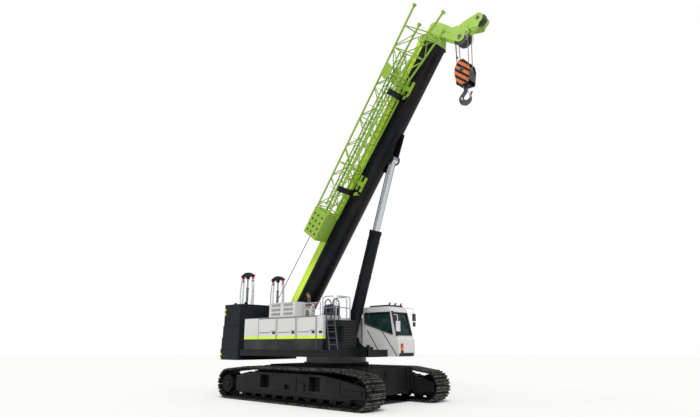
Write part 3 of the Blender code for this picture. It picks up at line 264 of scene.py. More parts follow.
def metal(name, code, roughness, dark, wear=0.5, scale=9.0, bump=0.3):
    """Bare steel that handling and grease have darkened in patches."""
    tree, shader, place = new_finish(name)
    patches = ranged(tree, blotches(tree, place, scale, 6.0, 0.7), 0.38, 0.62)
    rubbed = ranged(tree, blotches(tree, place, scale * 2.5, 4.0), 0.58, 0.70, 0.0, wear)
    colour = mixed(tree, patches, linear(code), linear(dark))
    values = {"Base Color": mixed(tree, rubbed, colour, linear("#a9a7a2")), "Metallic": 0.75}
    values["Roughness"] = ranged(tree, patches, 0.0, 1.0, roughness, roughness + 0.22)
    values["Normal"] = rippled(tree, blotches(tree, place, scale * 7), bump, 0.003)
    feed(tree, shader, values)


def hard_chrome(name):
    """Ground and plated rod: a mirror with faint rings where the seal wipes it."""
    tree, shader, place = new_finish(name)
    values = {"W": along_line(tree, place, CYLINDER_DOWN), "Scale": 14.0}
    rings = add(tree, "ShaderNodeTexNoise", values, noise_dimensions="1D").outputs["Fac"]
    values = {"Base Color": linear("#c9cdd2"), "Metallic": 1.0}
    feed(tree, shader, values | {"Roughness": ranged(tree, rings, 0.3, 0.7, 0.12, 0.26)})


def laid_rope(name):
    """Greased wire rope: strands wound round it, drawn coarse so that the lay shows."""
    tree, shader, place = new_finish(name)
    sides = parted(tree, place)
    wave = reckon(tree, "MULTIPLY", reckon(tree, "ADD", sides["Z"], sides["X"]), 260.0)
    ridge = reckon(tree, "SINE", wave)
    colour = mixed(tree, ranged(tree, ridge, -1.0, 1.0), linear("#3d3d40"), linear("#8f8f92"))
    values = {"Base Color": colour, "Metallic": 0.7, "Roughness": 0.45}
    feed(tree, shader, values | {"Normal": rippled(tree, ridge, 0.6, 0.004)})


def tinted_glass(name, looks):
    """Body-tinted safety glass: it darkens the cab and mirrors the sky."""
    tree, shader, place = new_finish(name)
    streaks = blotches(tree, place, 5.0, 4.0)
    shade = mixed(tree, streaks, linear(looks.glass), linear("#3f6663"))
    values = {"Base Color": shade, "Transmission Weight": 0.65, "IOR": 1.45}
    feed(tree, shader, values | {"Roughness": ranged(tree, streaks, 0.3, 0.7, 0.02, 0.07)})


def rubber(name, code="#121313", roughness=0.7):
    """Moulded rubber and hose: matt, with a bloom that lightens it in patches."""
    tree, shader, place = new_finish(name)
    bloom = blotches(tree, place, 14.0)
    share = ranged(tree, bloom, 0.45, 0.75, 0.0, 0.4)
    values = {"Base Color": mixed(tree, share, linear(code), linear("#2d2d2c"))}
    values["Roughness"] = ranged(tree, bloom, 0.3, 0.7, roughness - 0.1, roughness + 0.1)
    feed(tree, shader, values)


def woven_cloth(name):
    """Woven upholstery: pairs of threads 6 mm across, drawn coarse enough to show."""
    tree, shader, place = new_finish(name)
    sides = parted(tree, place)
    turns = [reckon(tree, "MULTIPLY", sides[axis], math.tau / THREAD_PITCH) for axis in ("X", "Y")]
    weave = reckon(tree, "MULTIPLY", *[reckon(tree, "SINE", turn) for turn in turns])
    shade = mixed(tree, ranged(tree, weave, -1.0, 1.0), linear("#101113"), linear("#2c2d31"))
    feed(tree, shader, {"Base Color": shade, "Roughness": 0.85, "Sheen Weight": 0.3})


def lens(name, code, glow):
    """Moulded clear or coloured lamp lens with fine flutes."""
    tree, shader, place = new_finish(name)
    turns = reckon(tree, "MULTIPLY", parted(tree, place)["Y"], math.tau / FLUTE_PITCH)
    flute = ranged(tree, reckon(tree, "SINE", turns), -1.0, 1.0)
    deep = [v * 0.6 for v in linear(code)[:3]] + [1.0]
    values = {"Base Color": mixed(tree, flute, deep, linear(code)), "Roughness": 0.12}
    values |= {"Coat Weight": 0.8, "Emission Color": linear(code), "Emission Strength": glow}
    feed(tree, shader, values)


# ---- mesh helpers ----
def even_turns(count):
    return [math.tau * i / count for i in range(count)]


def circle(centre, radius, count, upright=False):
    """Evenly spaced points on a level circle, or on an upright one along the machine."""
    spokes = [(radius * math.cos(a), radius * math.sin(a)) for a in even_turns(count)]
    return [Vector(centre) + Vector((c, 0, s) if upright else (c, s, 0)) for c, s in spokes]


def add_box(work, first, second):
    """A box between two opposite corners, in any order."""
    low, high = (Vector(map(pick, first, second)) for pick in (min, max))
    size = Matrix.Diagonal((*(high - low), 1))
    bmesh.ops.create_cube(work, size=1, matrix=Matrix.Translation((low + high) / 2) @ size)


def add_rod(work, start, end, radius, sides, end_radius=None):
    """A round bar between two points, which may end in another radius."""
    start, end = Vector(start), Vector(end)
    turn = (end - start).to_track_quat("Z", "Y").to_matrix().to_4x4()
    bmesh.ops.create_cone(
        work,
        cap_ends=True,
        segments=sides,
        radius1=radius,
        radius2=radius if end_radius is None else end_radius,
        depth=(end - start).length,
        matrix=Matrix.Translation((start + end) / 2) @ turn,
    )


def add_pin(work, centre, low, high, radius, sides):
    """A round bar across the machine, between two distances from a centre."""
    add_rod(work, centre + Vector((0, low, 0)), centre + Vector((0, high, 0)), radius, sides)


def add_ring(work, start, end, outer, inner, sides):
    """A sleeve between two points, open through its middle."""
    start, end = Vector(start), Vector(end)
    turn = (end - start).to_track_quat("Z", "Y")
    rings = []
    for centre, radius in ((start, inner), (start, outer), (end, outer), (end, inner)):
        spokes = [turn @ spoke for spoke in circle((0, 0, 0), radius, sides)]
        rings.append([work.verts.new(centre + spoke) for spoke in spokes])
    for ring, following in zip(rings, rings[1:] + rings[:1]):
        for i in range(sides):
            j = (i + 1) % sides
            work.faces.new((ring[i], ring[j], following[j], following[i]))


def add_plate(work, corners, thickness):
    """A flat plate: its corners in order, thickened along its own normal."""
    face = work.faces.new([work.verts.new(corner) for corner in corners])
    face.normal_update()
    lift = face.normal * thickness
    made = bmesh.ops.extrude_face_region(work, geom=[face])["geom"]
    moved = [item for item in made if isinstance(item, bmesh.types.BMVert)]
    bmesh.ops.translate(work, vec=lift, verts=moved)


def mesh_of(work):
    """The finished mesh of some mesh work, which ends there."""
    bmesh.ops.recalc_face_normals(work, faces=work.faces)
    data = bpy.data.meshes.new("shape")
    work.to_mesh(data)
    work.free()
    return data


def settle(made, finish, body):
    """Gives a piece its finish, and its body when that is one name.

    For a piece meant to bend, body is a tuple of its two bodies and the place on each; this tuple
    is not used, and the piece only keeps its place.
    """
    made.data.materials.clear()
    made.data.materials.append(bpy.data.materials[finish])
    if isinstance(body, tuple):
        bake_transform(made)
    else:
        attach(made, body)
    return made


def fitted(name, work, finish, bevel=0.0, smooth=35, body=UPPER):
    """A finished piece from mesh work, with its edges eased."""
    made = bpy.data.objects.new(name, mesh_of(work))
    bpy.context.scene.collection.objects.link(made)
    if bevel:
        ease = made.modifiers.new("Ease", "BEVEL")
        ease.width = bevel
        ease.segments = 2
        ease.angle_limit = math.radians(40)
        ease.harden_normals = True
    made.data.shade_smooth()
    made.data.set_sharp_from_angle(angle=math.radians(smooth))
    return settle(made, finish, body)


# ---- geometry node trees ----
def new_tree(name, inputs):
    """A geometry tree with named inputs: (name, socket type, default)."""
    tree = bpy.data.node_groups.new(name, "GeometryNodeTree")
    face = tree.interface
    face.new_socket("Geometry", in_out="INPUT", socket_type="NodeSocketGeometry")
    face.new_socket("Geometry", in_out="OUTPUT", socket_type="NodeSocketGeometry")
    for label, kind, default in inputs:
        socket = face.new_socket(label, in_out="INPUT", socket_type=kind)
        if default is not None:
            socket.default_value = default
    return tree, add(tree, "NodeGroupInput"), add(tree, "NodeGroupOutput")


def close_tree(tree, target, geometry, finish):
    """Ends a tree in plain geometry with a material."""
    real = add(tree, "GeometryNodeRealizeInstances", {0: geometry})
    painted = add(
        tree, "GeometryNodeSetMaterial", {"Geometry": real.outputs[0], "Material": finish}
    )
    tree.links.new(painted.outputs[0], target.inputs[0])


def bar_tree():
    """Round bars, pipes and hoses along the edges of a wire mesh."""
    inputs = [("Radius", "NodeSocketFloat", 0.02), ("Sides", "NodeSocketInt", 8)]
    tree, source, target = new_tree(
        "bars_along_edges", inputs + [("Finish", "NodeSocketMaterial", None)]
    )
    line = add(tree, "GeometryNodeMeshToCurve", {0: source.outputs["Geometry"]})
    values = {"Resolution": source.outputs["Sides"], "Radius": source.outputs["Radius"]}
    ring = add(tree, "GeometryNodeCurvePrimitiveCircle", values)
    values = {"Curve": line.outputs[0], "Profile Curve": ring.outputs[0], "Fill Caps": True}
    tube = add(tree, "GeometryNodeCurveToMesh", values)
    smooth = add(tree, "GeometryNodeSetShadeSmooth", {0: tube.outputs[0]})
    close_tree(tree, target, smooth.outputs[0], source.outputs["Finish"])


def row_tree():
    """One shape repeated at even steps along a path, its X axis along the path."""
    inputs = [("Shape", "NodeSocketObject", None), ("Count", "NodeSocketInt", 10)]
    tree, source, target = new_tree(
        "row_along_path", inputs + [("Finish", "NodeSocketMaterial", None)]
    )
    line = add(tree, "GeometryNodeMeshToCurve", {0: source.outputs["Geometry"]})
    values = {"Curve": line.outputs[0], "Count": source.outputs["Count"]}
    steps = add(tree, "GeometryNodeResampleCurve", values)
    shape = add(tree, "GeometryNodeObjectInfo", {"Object": source.outputs["Shape"]})
    values = {"Vector": add(tree, "GeometryNodeInputTangent").outputs[0]}
    turn = add(tree, "FunctionNodeAlignEulerToVector", values, axis="X", pivot_axis="Y")
    values = {"Points": steps.outputs[0], "Instance": shape.outputs["Geometry"]}
    values["Rotation"] = turn.outputs[0]
    spread = add(tree, "GeometryNodeInstanceOnPoints", values)
    close_tree(tree, target, spread.outputs[0], source.outputs["Finish"])


def spot_tree():
    """One shape on every point of a mesh, all turned the same way."""
    inputs = [("Shape", "NodeSocketObject", None), ("Turn", "NodeSocketRotation", None)]
    tree, source, target = new_tree(
        "shape_on_points", inputs + [("Finish", "NodeSocketMaterial", None)]
    )
    shape = add(tree, "GeometryNodeObjectInfo", {"Object": source.outputs["Shape"]})
    values = {"Points": source.outputs["Geometry"], "Instance": shape.outputs["Geometry"]}
    values["Rotation"] = source.outputs["Turn"]
    spread = add(tree, "GeometryNodeInstanceOnPoints", values)
    close_tree(tree, target, spread.outputs[0], source.outputs["Finish"])


def grow(name, seed, tree, values, finish, body):
    """Runs a tree on seed points and edges and keeps its result as a plain piece."""
    made = bpy.data.objects.new(name, seed)
    bpy.context.scene.collection.objects.link(made)
    run = made.modifiers.new("Grow", "NODES")
    run.node_group = bpy.data.node_groups[tree]
    values = dict(values, Finish=bpy.data.materials[finish])
    for item in run.node_group.interface.items_tree:
        if item.in_out == "INPUT" and item.name in values:
            run[item.identifier] = values[item.name]
    bpy.context.view_layer.update()
    graph = bpy.context.evaluated_depsgraph_get()
    plain = bpy.data.meshes.new_from_object(made.evaluated_get(graph), depsgraph=graph)
    made.modifiers.clear()
    made.data = plain
    if tree != "bars_along_edges":
        plain.shade_smooth()
        plain.set_sharp_from_angle(angle=math.radians(35))
    return settle(made, finish, body)


def wire(lines, closed=False):
    """A mesh of edges through each list of points."""
    data = bpy.data.meshes.new("wire")
    points, edges = [], []
    for line in lines:
        first = len(points)
        points += [tuple(p) for p in line]
        edges += [(first + i, first + i + 1) for i in range(len(line) - 1)]
        if closed:
            edges.append((len(points) - 1, first))
    data.from_pydata(points, edges, [])
    return data


def spots(points):
    """A mesh of loose points."""
    data = bpy.data.meshes.new("spots")
    data.from_pydata([tuple(p) for p in points], [], [])
    return data


def pattern(name, work):
    """A hidden shape for the trees to repeat."""
    made = bpy.data.objects.new(name, mesh_of(work))
    bpy.context.scene.collection.objects.link(made)
    made.hide_render = True
    made.hide_viewport = True
    return made


def bars(name, lines, radius, finish, sides=8, closed=False, body=UPPER):
    """A round bar along each line."""
    values = {"Radius": radius, "Sides": sides}
    return grow(name, wire(lines, closed), "bars_along_edges", values, finish, body)


def row(name, shape, path, count, finish, closed=False, body=UPPER):
    """A shape at even steps along a path."""
    values = {"Shape": shape, "Count": count}
    return grow(name, wire([path], closed), "row_along_path", values, finish, body)


def studs(name, shape, points, turn, finish, body=UPPER):
    """A shape on each point."""
    values = {"Shape": shape, "Turn": turn}
    return grow(name, spots(points), "shape_on_points", values, finish, body)


def bolt_head(radius, height):
    """A hexagon head along +Z on a thin washer."""
    work = bmesh.new()
    add_rod(work, (0, 0, 0), (0, 0, 0.004), radius * 1.35, 14)
    add_rod(work, (0, 0, 0.004), (0, 0, height), radius, 6)
    return pattern("bolt_shape_" + str(round(radius * 1000)), work)


OUT_RIGHT = (math.pi / 2, 0, 0)
OUT_LEFT = (-math.pi / 2, 0, 0)
UPWARD = (0, 0, 0)


# ---- settings a user would change ----
class CranePaint(bpy.types.PropertyGroup):
    light_paint: bpy.props.StringProperty(
        name="Light paint", description="House and cab", default="#cfd0ce"
    )
    stripe: bpy.props.StringProperty(
        name="Stripe", description="Bright line and boom band", default="#cdee50"
    )
    skirt: bpy.props.StringProperty(
        name="Skirt", description="Lower part of the house", default="#14171b"
    )
    jib: bpy.props.StringProperty(
        name="Jib", description="Jib, head and collars", default="#84aa2c"
    )
    # The jib's green made lighter: painted light on the boom head and the collars, which wear the
    # jib's paint
    head: bpy.props.StringProperty(
        name="Head", description="Boom head and collars", default="#a0c552"
    )
    boom: bpy.props.StringProperty(name="Boom", description="Boom and cylinder", default="#070a11")
    ballast: bpy.props.StringProperty(
        name="Ballast", description="Ballast slabs", default="#171b20"
    )
    chassis: bpy.props.StringProperty(
        name="Chassis", description="Carbody and track frames", default="#0f1012"
    )
    block: bpy.props.StringProperty(
        name="Block", description="Hook block stripes", default="#d4733f"
    )
    glass: bpy.props.StringProperty(name="Glass", description="Cab glass tint", default="#1d3836")
    stripe_low: bpy.props.FloatProperty(
        name="Stripe from", description="Lower edge", default=2.06, unit="LENGTH"
    )
    stripe_high: bpy.props.FloatProperty(
        name="Stripe to", description="Upper edge", default=2.16, unit="LENGTH"
    )
    line_low: bpy.props.FloatProperty(
        name="Grey line from", description="On the boom", default=0.02, unit="LENGTH"
    )
    band_low: bpy.props.FloatProperty(
        name="Band from", description="On the boom", default=0.11, unit="LENGTH"
    )


class CraneSizes(bpy.types.PropertyGroup):
    shoes: bpy.props.IntProperty(
        name="Shoes", description="Shoes in each track", default=72, min=40
    )
    bar_height: bpy.props.FloatProperty(
        name="Bar height", description="Under the shoe", default=0.062, unit="LENGTH"
    )
    shoe_half: bpy.props.FloatProperty(
        name="Shoe half width", description="Across", default=0.398, unit="LENGTH"
    )
    tip_inset: bpy.props.FloatProperty(
        name="Tip inset", description="Under the outline", default=0.009, unit="LENGTH"
    )
    seam: bpy.props.FloatProperty(
        name="Seam width", description="Panel joints", default=0.018, unit="LENGTH"
    )
    rope: bpy.props.FloatProperty(
        name="Rope radius", description="Hoist rope", default=0.013, unit="LENGTH"
    )
    hose: bpy.props.FloatProperty(
        name="Hose radius", description="Hydraulic hose", default=0.018, unit="LENGTH"
    )


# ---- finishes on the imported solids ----
def make_finishes(looks):
    """Every finish of the crane. An enamel's numbers: dust share, roughness, coat and shine."""
    for values in (
        ("light_enamel", looks.light_paint, DUST, 0.12, 0.33, 0.25, 0.5),
        ("boom_enamel", looks.boom, "#4f4c45", 0.05, 0.3, 0.03, 0.14),
        ("jib_enamel", looks.jib, "#d8efa0", 0.12, 0.38, 0.1, 0.3),
        # the head's finish is the jib's green made lighter, which paints the light falling on the
        # head and collars
        ("lit_head_enamel", looks.head, "#dff0b8", 0.15, 0.38, 0.1, 0.3),
        ("dark_enamel", looks.skirt, "#3b3a37", 0.12, 0.4, 0.04, 0.2),
        ("ladder_enamel", "#3b444d", "#8a9095", 0.3, 0.4, 0.1, 0.4),
        ("ballast_enamel", looks.ballast, "#3a3a3a", 0.1, 0.5, 0.0, 0.18),
        ("chassis_enamel", looks.chassis, "#3a352f", 0.25, 0.5, 0.0, 0.2),
        ("stripe_enamel", looks.stripe, DUST, 0.1, 0.33, 0.25, 0.5),
        ("signal_yellow", "#e9dd5a", DUST, 0.1, 0.33, 0.25, 0.5),
        ("signal_red", "#c4204a", DUST, 0.05, 0.33, 0.25, 0.5),
        ("seam_shadow", "#3a3b3d", DUST, 0.1, 0.6, 0.0, 0.5),
        ("joint_shadow", "#07080a", DUST, 0.02, 0.7, 0.0, 0.1),
    ):
        enamel(*values)
    house_enamel("house_side_enamel", looks)
    boom_enamel("boom_band_enamel", looks)
    block_enamel("block_enamel", looks)
    metal("worn_shoe_steel", "#2b2926", 0.5, "#0e0d0c", wear=0.5)
    metal("rubbed_shoe_steel", "#6d6b68", 0.42, "#1c1b1a", wear=0.6, scale=5.0)
    metal("galvanised_steel", "#d5d9dc", 0.4, "#aeb4b8", wear=0.3, bump=0.1)
    metal("forged_steel", "#2c2d31", 0.4, "#121214", wear=0.5)
    metal("rusted_muffler_steel", "#8f6f62", 0.55, "#4d3b35", wear=0.2)
    metal("bright_pin_steel", "#9a9c9f", 0.25, "#55575a", wear=0.3)
    hard_chrome("hard_chrome")
    laid_rope("laid_rope")
    tinted_glass("tinted_safety_glass", looks)
    rubber("hose_rubber")
    rubber("black_polymer", "#17181a", 0.5)
    woven_cloth("woven_cloth")
    lens("red_lens", "#d3241a", 0.15)
    lens("amber_lens", "#f0701c", 0.15)
    lens("clear_lens", "#dfe6ea", 0.2)


NODE_FINISHES = {
    "light_enamel": ("louvre_box", "cab_shell", "cab_door", "house_left", "house_left_door_1"),
    "house_side_enamel": ("house_right",) + DOORS,
    "boom_band_enamel": ("boom_base",),
    "boom_enamel": ("luff_cylinder_barrel",),
    "jib_enamel": ("lattice_jib",),
    # head and collars: the jib's green made lighter, as painted light
    "lit_head_enamel": ("boom_head",) + tuple(f"boom_section_{i}" for i in range(2, 6)),
    "dark_enamel": (
        "deck_frame",
        "boom_foot_bracket",
        "hydraulic_valve_block",
        "front_cabinet",
        "cab_roof_hatch",
        "control_console",
        "ballast_lift_barrel_right",
        "ballast_lift_barrel_left",
    ),
    "ballast_enamel": tuple(f"counterweight_slab_{i}" for i in range(1, 5)),
    "chassis_enamel": ("carbody", "engine_block")
    + tuple(
        f"{name}_{side}"
        for name in ("track_frame", "sprocket", "idler")
        for side in ("right", "left")
    ),
    "block_enamel": ("hook_block",),
    "galvanised_steel": ("ladder_and_guard_rails", "roof_hand_rail"),
    "forged_steel": (
        "slew_ring",
        "hook",
        "main_winch_drum",
        "auxiliary_winch_drum",
        "head_sheaves",
        "single_line_sheave",
        "hook_block_sheaves",
        "ballast_lift_bar_right",
        "ballast_lift_bar_left",
    ),
    "rusted_muffler_steel": ("exhaust_silencer",),
    "hard_chrome": ("luff_cylinder_rod",),
    "laid_rope": ("hoist_rope_right", "hoist_rope_left"),
    "tinted_safety_glass": ("windscreen", "cab_glass_right", "cab_glass_rear", "cab_door_glass"),
    "woven_cloth": ("operator_seat",),
    "worn_shoe_steel": ("track_right", "track_left"),
}


def paint_nodes():
    """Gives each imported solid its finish, and stops if one is left without."""
    for finish, names in NODE_FINISHES.items():
        for name in names:
            materials = NODES[name].data.materials
            materials.clear()
            materials.append(bpy.data.materials[finish])
    left = set(NODES).difference(*NODE_FINISHES.values())
    if left:
        raise RuntimeError(f"no finish for {sorted(left)}")


# ---- tracks ----
def track_path(depth):
    """The closed line at a depth inside the outer line of the shoes, anticlockwise in x and z."""
    radius = TRACK[1].z / 2.2115
    top = TRACK[1].z
    corners = ((IDLER.x - 0.79, top, -1), (SPROCKET.x + 1.11, top, 1))
    points, turns = [], []
    for (x, z, way), middle in zip(corners, (IDLER, SPROCKET)):
        across, up = x - middle.x, z - middle.z
        spread = math.acos(radius / math.hypot(across, up))
        turns.append(math.atan2(up, across) + way * spread)
    steps = 26
    for middle, start, stop in (
        (IDLER, -math.pi / 2, turns[0]), (SPROCKET, turns[1], math.pi * 1.5)
    ):
        for i in range(steps + 1):
            turn = start + (stop - start) * i / steps
            reach = radius - depth
            points.append((middle.x + reach * math.cos(turn), middle.z + reach * math.sin(turn)))
        if middle is IDLER:
            points += [(corners[0][0], top - depth), (corners[1][0], top - depth)]
    return points


def add_prism(work, outline, low, high):
    """An outline in x and z carried across from one y to another."""
    front = [work.verts.new((a, low, b)) for a, b in outline]
    back = [work.verts.new((a, high, b)) for a, b in outline]
    count = len(outline)
    work.faces.new(front)
    work.faces.new(back[::-1])
    for i in range(count):
        j = (i + 1) % count
        work.faces.new((front[j], front[i], back[i], back[j]))


def build_tracks(sizes):
    """Shoes with their chain links, and the bars across them that the ground rubs bright."""
    deck = sizes.bar_height
    path = track_path(sizes.tip_inset + deck)
    length = sum(math.dist(path[i - 1], path[i]) for i in range(len(path)))
    pitch = length / sizes.shoes
    half, reach = sizes.shoe_half, pitch / 2 - 0.014
    work = bmesh.new()
    add_box(work, (-reach, -half, -0.012), (reach, half, 0.010))
    add_box(work, (reach - 0.03, -half + 0.04, 0.002), (reach + 0.024, half - 0.04, 0.016))
    for side in (-1, 1):
        ends = sorted((side * 0.055, side * 0.115))
        link = [
            (-reach - 0.02, 0.026),
            (-reach + 0.02, 0.010),
            (reach - 0.02, 0.010),
            (reach + 0.004, 0.026),
        ]
        link += [
            (reach + 0.004, 0.056),
            (reach - 0.03, 0.068),
            (-reach + 0.02, 0.068),
            (-reach - 0.02, 0.056),
        ]
        add_prism(work, link, *ends)
        for x in (-0.045, 0.045):
            y = side * 0.19
            add_rod(work, (x, y, -0.022), (x, y, -0.010), 0.017, 6)
    shoe = pattern("shoe_shape", work)
    work = bmesh.new()
    for middle, low, wide in (
        (-0.055, -deck, 0.017), (0.055, -deck, 0.017), (0.0, -deck * 0.6, 0.012)
    ):
        outline = [
            (middle - wide - 0.006, -0.010),
            (middle - wide, low),
            (middle + wide, low),
            (middle + wide + 0.006, -0.010),
        ]
        for side in (-1, 1):
            ends = sorted((side * 0.012, side * half))
            add_prism(work, outline, *ends)
    bar = pattern("shoe_bar_shape", work)
    for label in ("right", "left"):
        middle = sum(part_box("track_" + label), Vector()).y / 2
        line = [(x, middle, z) for x, z in path]
        made = row("shoes_" + label, shoe, line, sizes.shoes, "worn_shoe_steel", True, body=UNDER)
        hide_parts("track_" + label)
        row("shoe_bars_" + label, bar, line, sizes.shoes, "rubbed_shoe_steel", True, body=UNDER)


def build_track_frames():
    """What is bolted to the outer face of each track frame, and the wheels' teeth and covers."""
    bolt = bolt_head(0.020, 0.016)
    for label, side in (("right", -1), ("left", 1)):
        low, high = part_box("track_frame_" + label)
        face, out = (low.y, OUT_RIGHT) if side < 0 else (high.y, OUT_LEFT)
        front, rear = IDLER.x, SPROCKET.x
        lip = [
            (rear + 0.80, 0.86), (rear + 1.30, 0.955), (front - 1.47, 0.955), (front - 0.80, 0.865)
        ]
        lip += [(front - 0.20, 0.765), (front + 0.32, 0.665)]
        bars(
            f"frame_lip_{label}",
            [[(x, face, z) for x, z in lip]],
            0.014,
            "chassis_enamel",
            body=UNDER,
        )
        work = bmesh.new()
        add_box(work, (rear + 0.62, face - 0.012, 0.33), (front - 0.1, face + 0.012, 0.37))
        add_box(work, (front - 0.62, face, 0.42), (front + 0.20, face + side * 0.03, 0.58))
        for x in (-0.62, 1.28):
            add_box(work, (x - 0.035, face - 0.02, 0.44), (x + 0.035, face + 0.02, 0.88))
        add_box(work, (-0.52, face, 0.44), (-0.22, face + side * 0.035, 0.68))
        fitted(f"frame_fittings_{label}", work, "chassis_enamel", 0.006, body=UNDER)
        cap_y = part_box("sprocket_" + label)[0 if side < 0 else 1].y
        ring = circle((rear, face, SPROCKET.z), 0.235, 18, True)
        ring += circle((rear, cap_y, SPROCKET.z), 0.125, 10, True)
        places = [(x, face, z) for x in (0.35, 0.75, 1.9, 2.3) for z in (0.50, 0.78)]
        places += [
            (front - 0.58 + 0.15 * i, face + side * 0.03, 0.45 + 0.10 * (i % 2)) for i in range(6)
        ]
        studs(f"frame_bolts_{label}", bolt, ring + places, out, "chassis_enamel", body=UNDER)
        build_sprocket_teeth(label)


def build_sprocket_teeth(label):
    work = bmesh.new()
    add_prism(work, [(-0.045, 0.0), (0.045, 0.0), (0.02, 0.062), (-0.02, 0.062)], -0.04, 0.04)
    tooth = pattern("tooth_shape_" + label, work)
    middle = sum(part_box("track_" + label), Vector()).y / 2
    radius = 0.375
    ring = [
        (SPROCKET.x - radius * math.cos(a), middle, SPROCKET.z + radius * math.sin(a))
        for a in even_turns(36)
    ]
    row(
        f"sprocket_teeth_{label}",
        tooth,
        ring,
        18,
        "forged_steel",
        True,
        body=UNDER,
    )


def build_carbody():
    """Trim on the carbody's front and top, and the bolts and lips of the slewing ring."""
    low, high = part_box("carbody")
    work = bmesh.new()
    face = high.x
    add_box(work, (face - 0.005, -0.20, 0.84), (face + 0.012, 0.06, 0.86))
    add_box(work, (face - 0.005, -0.15, 0.86), (face + 0.010, 0.02, 1.02))
    for y in (-1.24, -1.02, 1.02, 1.24):
        add_box(work, (face - 0.02, y - 0.05, 0.42), (face + 0.03, y + 0.05, 1.12))
    for y in (-0.9, 0.9):
        add_box(work, (low.x + 0.8, y - 0.03, 1.10), (high.x - 0.85, y + 0.03, 1.19))
    fitted("carbody_trim", work, "chassis_enamel", 0.006, body=UNDER)
    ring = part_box("slew_ring")
    radius = (ring[1].x - ring[0].x) / 2
    centre = Vector((SLEW.x, 0, 0))
    bolt = bolt_head(0.022, 0.03)
    places = circle((SLEW.x, 0, ring[0].z), radius + 0.05, 48)
    studs("ring_bolts", bolt, places, UPWARD, "forged_steel", body=UNDER)
    work = bmesh.new()
    for z in (ring[0].z + 0.07, ring[0].z + 0.13):
        add_rod(
            work, centre + Vector((0, 0, z)), centre + Vector((0, 0, z + 0.012)), radius + 0.012, 64
        )
    fitted("ring_lips", work, "rusted_muffler_steel", 0.003, body=UNDER)


# ---- house ----
def handle_parts(work, x, y, z):
    """A latch on the right side: a dish and a paddle."""
    add_box(work, (x - 0.075, y - 0.008, z - 0.035), (x + 0.075, y, z + 0.045))
    add_box(work, (x - 0.045, y - 0.018, z - 0.018), (x + 0.050, y, z + 0.022))


def build_house(sizes):
    """Door trim and latches, panel joints, the skirt's fold and the roof seam."""
    for index, node in enumerate(DOORS):
        low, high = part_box(node)
        body = f"right_door_{index + 1}"
        y = low.y
        work = bmesh.new()
        edge = sizes.seam
        for x in (low.x, high.x - edge):
            add_box(work, (x, y - 0.004, low.z), (x + edge, y + 0.001, high.z))
        add_box(work, (low.x, y - 0.004, high.z - edge), (high.x, y + 0.001, high.z))
        line = high.z - 0.50
        add_box(
            work, (low.x + 0.05, y - 0.006, line - 0.008), (high.x - 0.30, y + 0.001, line + 0.008)
        )
        add_box(
            work, (high.x - 0.30, y - 0.006, line + 0.042), (high.x - 0.06, y + 0.001, line + 0.056)
        )
        fitted(f"{body}_seams", work, "seam_shadow", body=body)
        work = bmesh.new()
        handle_parts(work, high.x - 0.13, y, line - 0.02)
        fitted(f"{body}_latch", work, "black_polymer", 0.004, body=body)
    low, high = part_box("house_right")
    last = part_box(DOORS[-1])[1].x
    work = bmesh.new()
    x = last + 0.03
    add_box(work, (x, low.y - 0.004, low.z), (x + sizes.seam, low.y + 0.001, high.z))
    add_box(work, (low.x, low.y - 0.004, high.z - 0.012), (high.x, low.y + 0.001, high.z - 0.002))
    fitted("house_seams", work, "seam_shadow")
    work = bmesh.new()
    handle_parts(work, (last + high.x) / 2 + 0.06, low.y, high.z - 0.55)
    fitted("house_latch", work, "black_polymer", 0.004)
    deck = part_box("deck_frame")
    work = bmesh.new()
    for side in (-1, 1):
        y = side * DECK_SIDE
        front = deck[0].x + 5.06 if side < 0 else deck[0].x + 4.2
        add_box(work, (deck[0].x, y, 1.655), (front, y + side * 0.016, DECK_TOP))
        add_box(work, (deck[0].x, y, 1.47), (front, y + side * 0.012, 1.50))
    fitted("deck_folds", work, "dark_enamel", 0.004)
    low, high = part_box("house_left")
    work = bmesh.new()
    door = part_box("house_left_door_1")
    for x in (door[1].x + 0.03, door[1].x + 1.08, door[1].x + 2.10):
        add_box(work, (x, high.y - 0.001, low.z), (x + sizes.seam, high.y + 0.004, high.z))
    fitted("house_left_seams", work, "seam_shadow")
    work = bmesh.new()
    add_box(work, (door[1].x + 0.05, high.y, 2.06), (high.x, high.y + 0.003, 2.06 + 0.10))
    fitted("house_left_stripe", work, "stripe_enamel")


def build_louvres():
    """Six slotted panels on the cooling box, with slats over black sheets that paint the shade in
    the openings.
    """
    low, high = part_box("louvre_box")
    back, slat = bmesh.new(), bmesh.new()
    add_prism(
        slat, [(-0.215, -0.010), (0.215, -0.010), (0.215, 0.002), (-0.215, 0.002)], -0.010, 0.004
    )
    shape = pattern("slat_shape", slat)
    centres = []
    for i in range(3):
        z = low.z + 0.10 + i * 0.155
        for x in (low.x + 0.36, high.x - 0.36):
            add_box(
                back, (x - 0.235, low.y - 0.003, z - 0.04), (x + 0.235, low.y + 0.001, z + 0.055)
            )
            centres += [(x, low.y - 0.004, z - 0.025 + 0.026 * k) for k in range(4)]
    # Black sheets behind the slats: painted shade in the openings
    fitted("louvre_openings", back, "black_polymer")
    studs("louvre_slats", shape, centres, UPWARD, "light_enamel")
    work = bmesh.new()
    for x in (low.x, (low.x + high.x) / 2 - 0.012, high.x - 0.024):
        add_box(work, (x, low.y - 0.010, low.z), (x + 0.024, low.y + 0.001, high.z))
    for z in (low.z, high.z - 0.024):
        add_box(work, (low.x, low.y - 0.010, z), (high.x, low.y + 0.001, z + 0.024))
    fitted("louvre_frame", work, "light_enamel", 0.003)


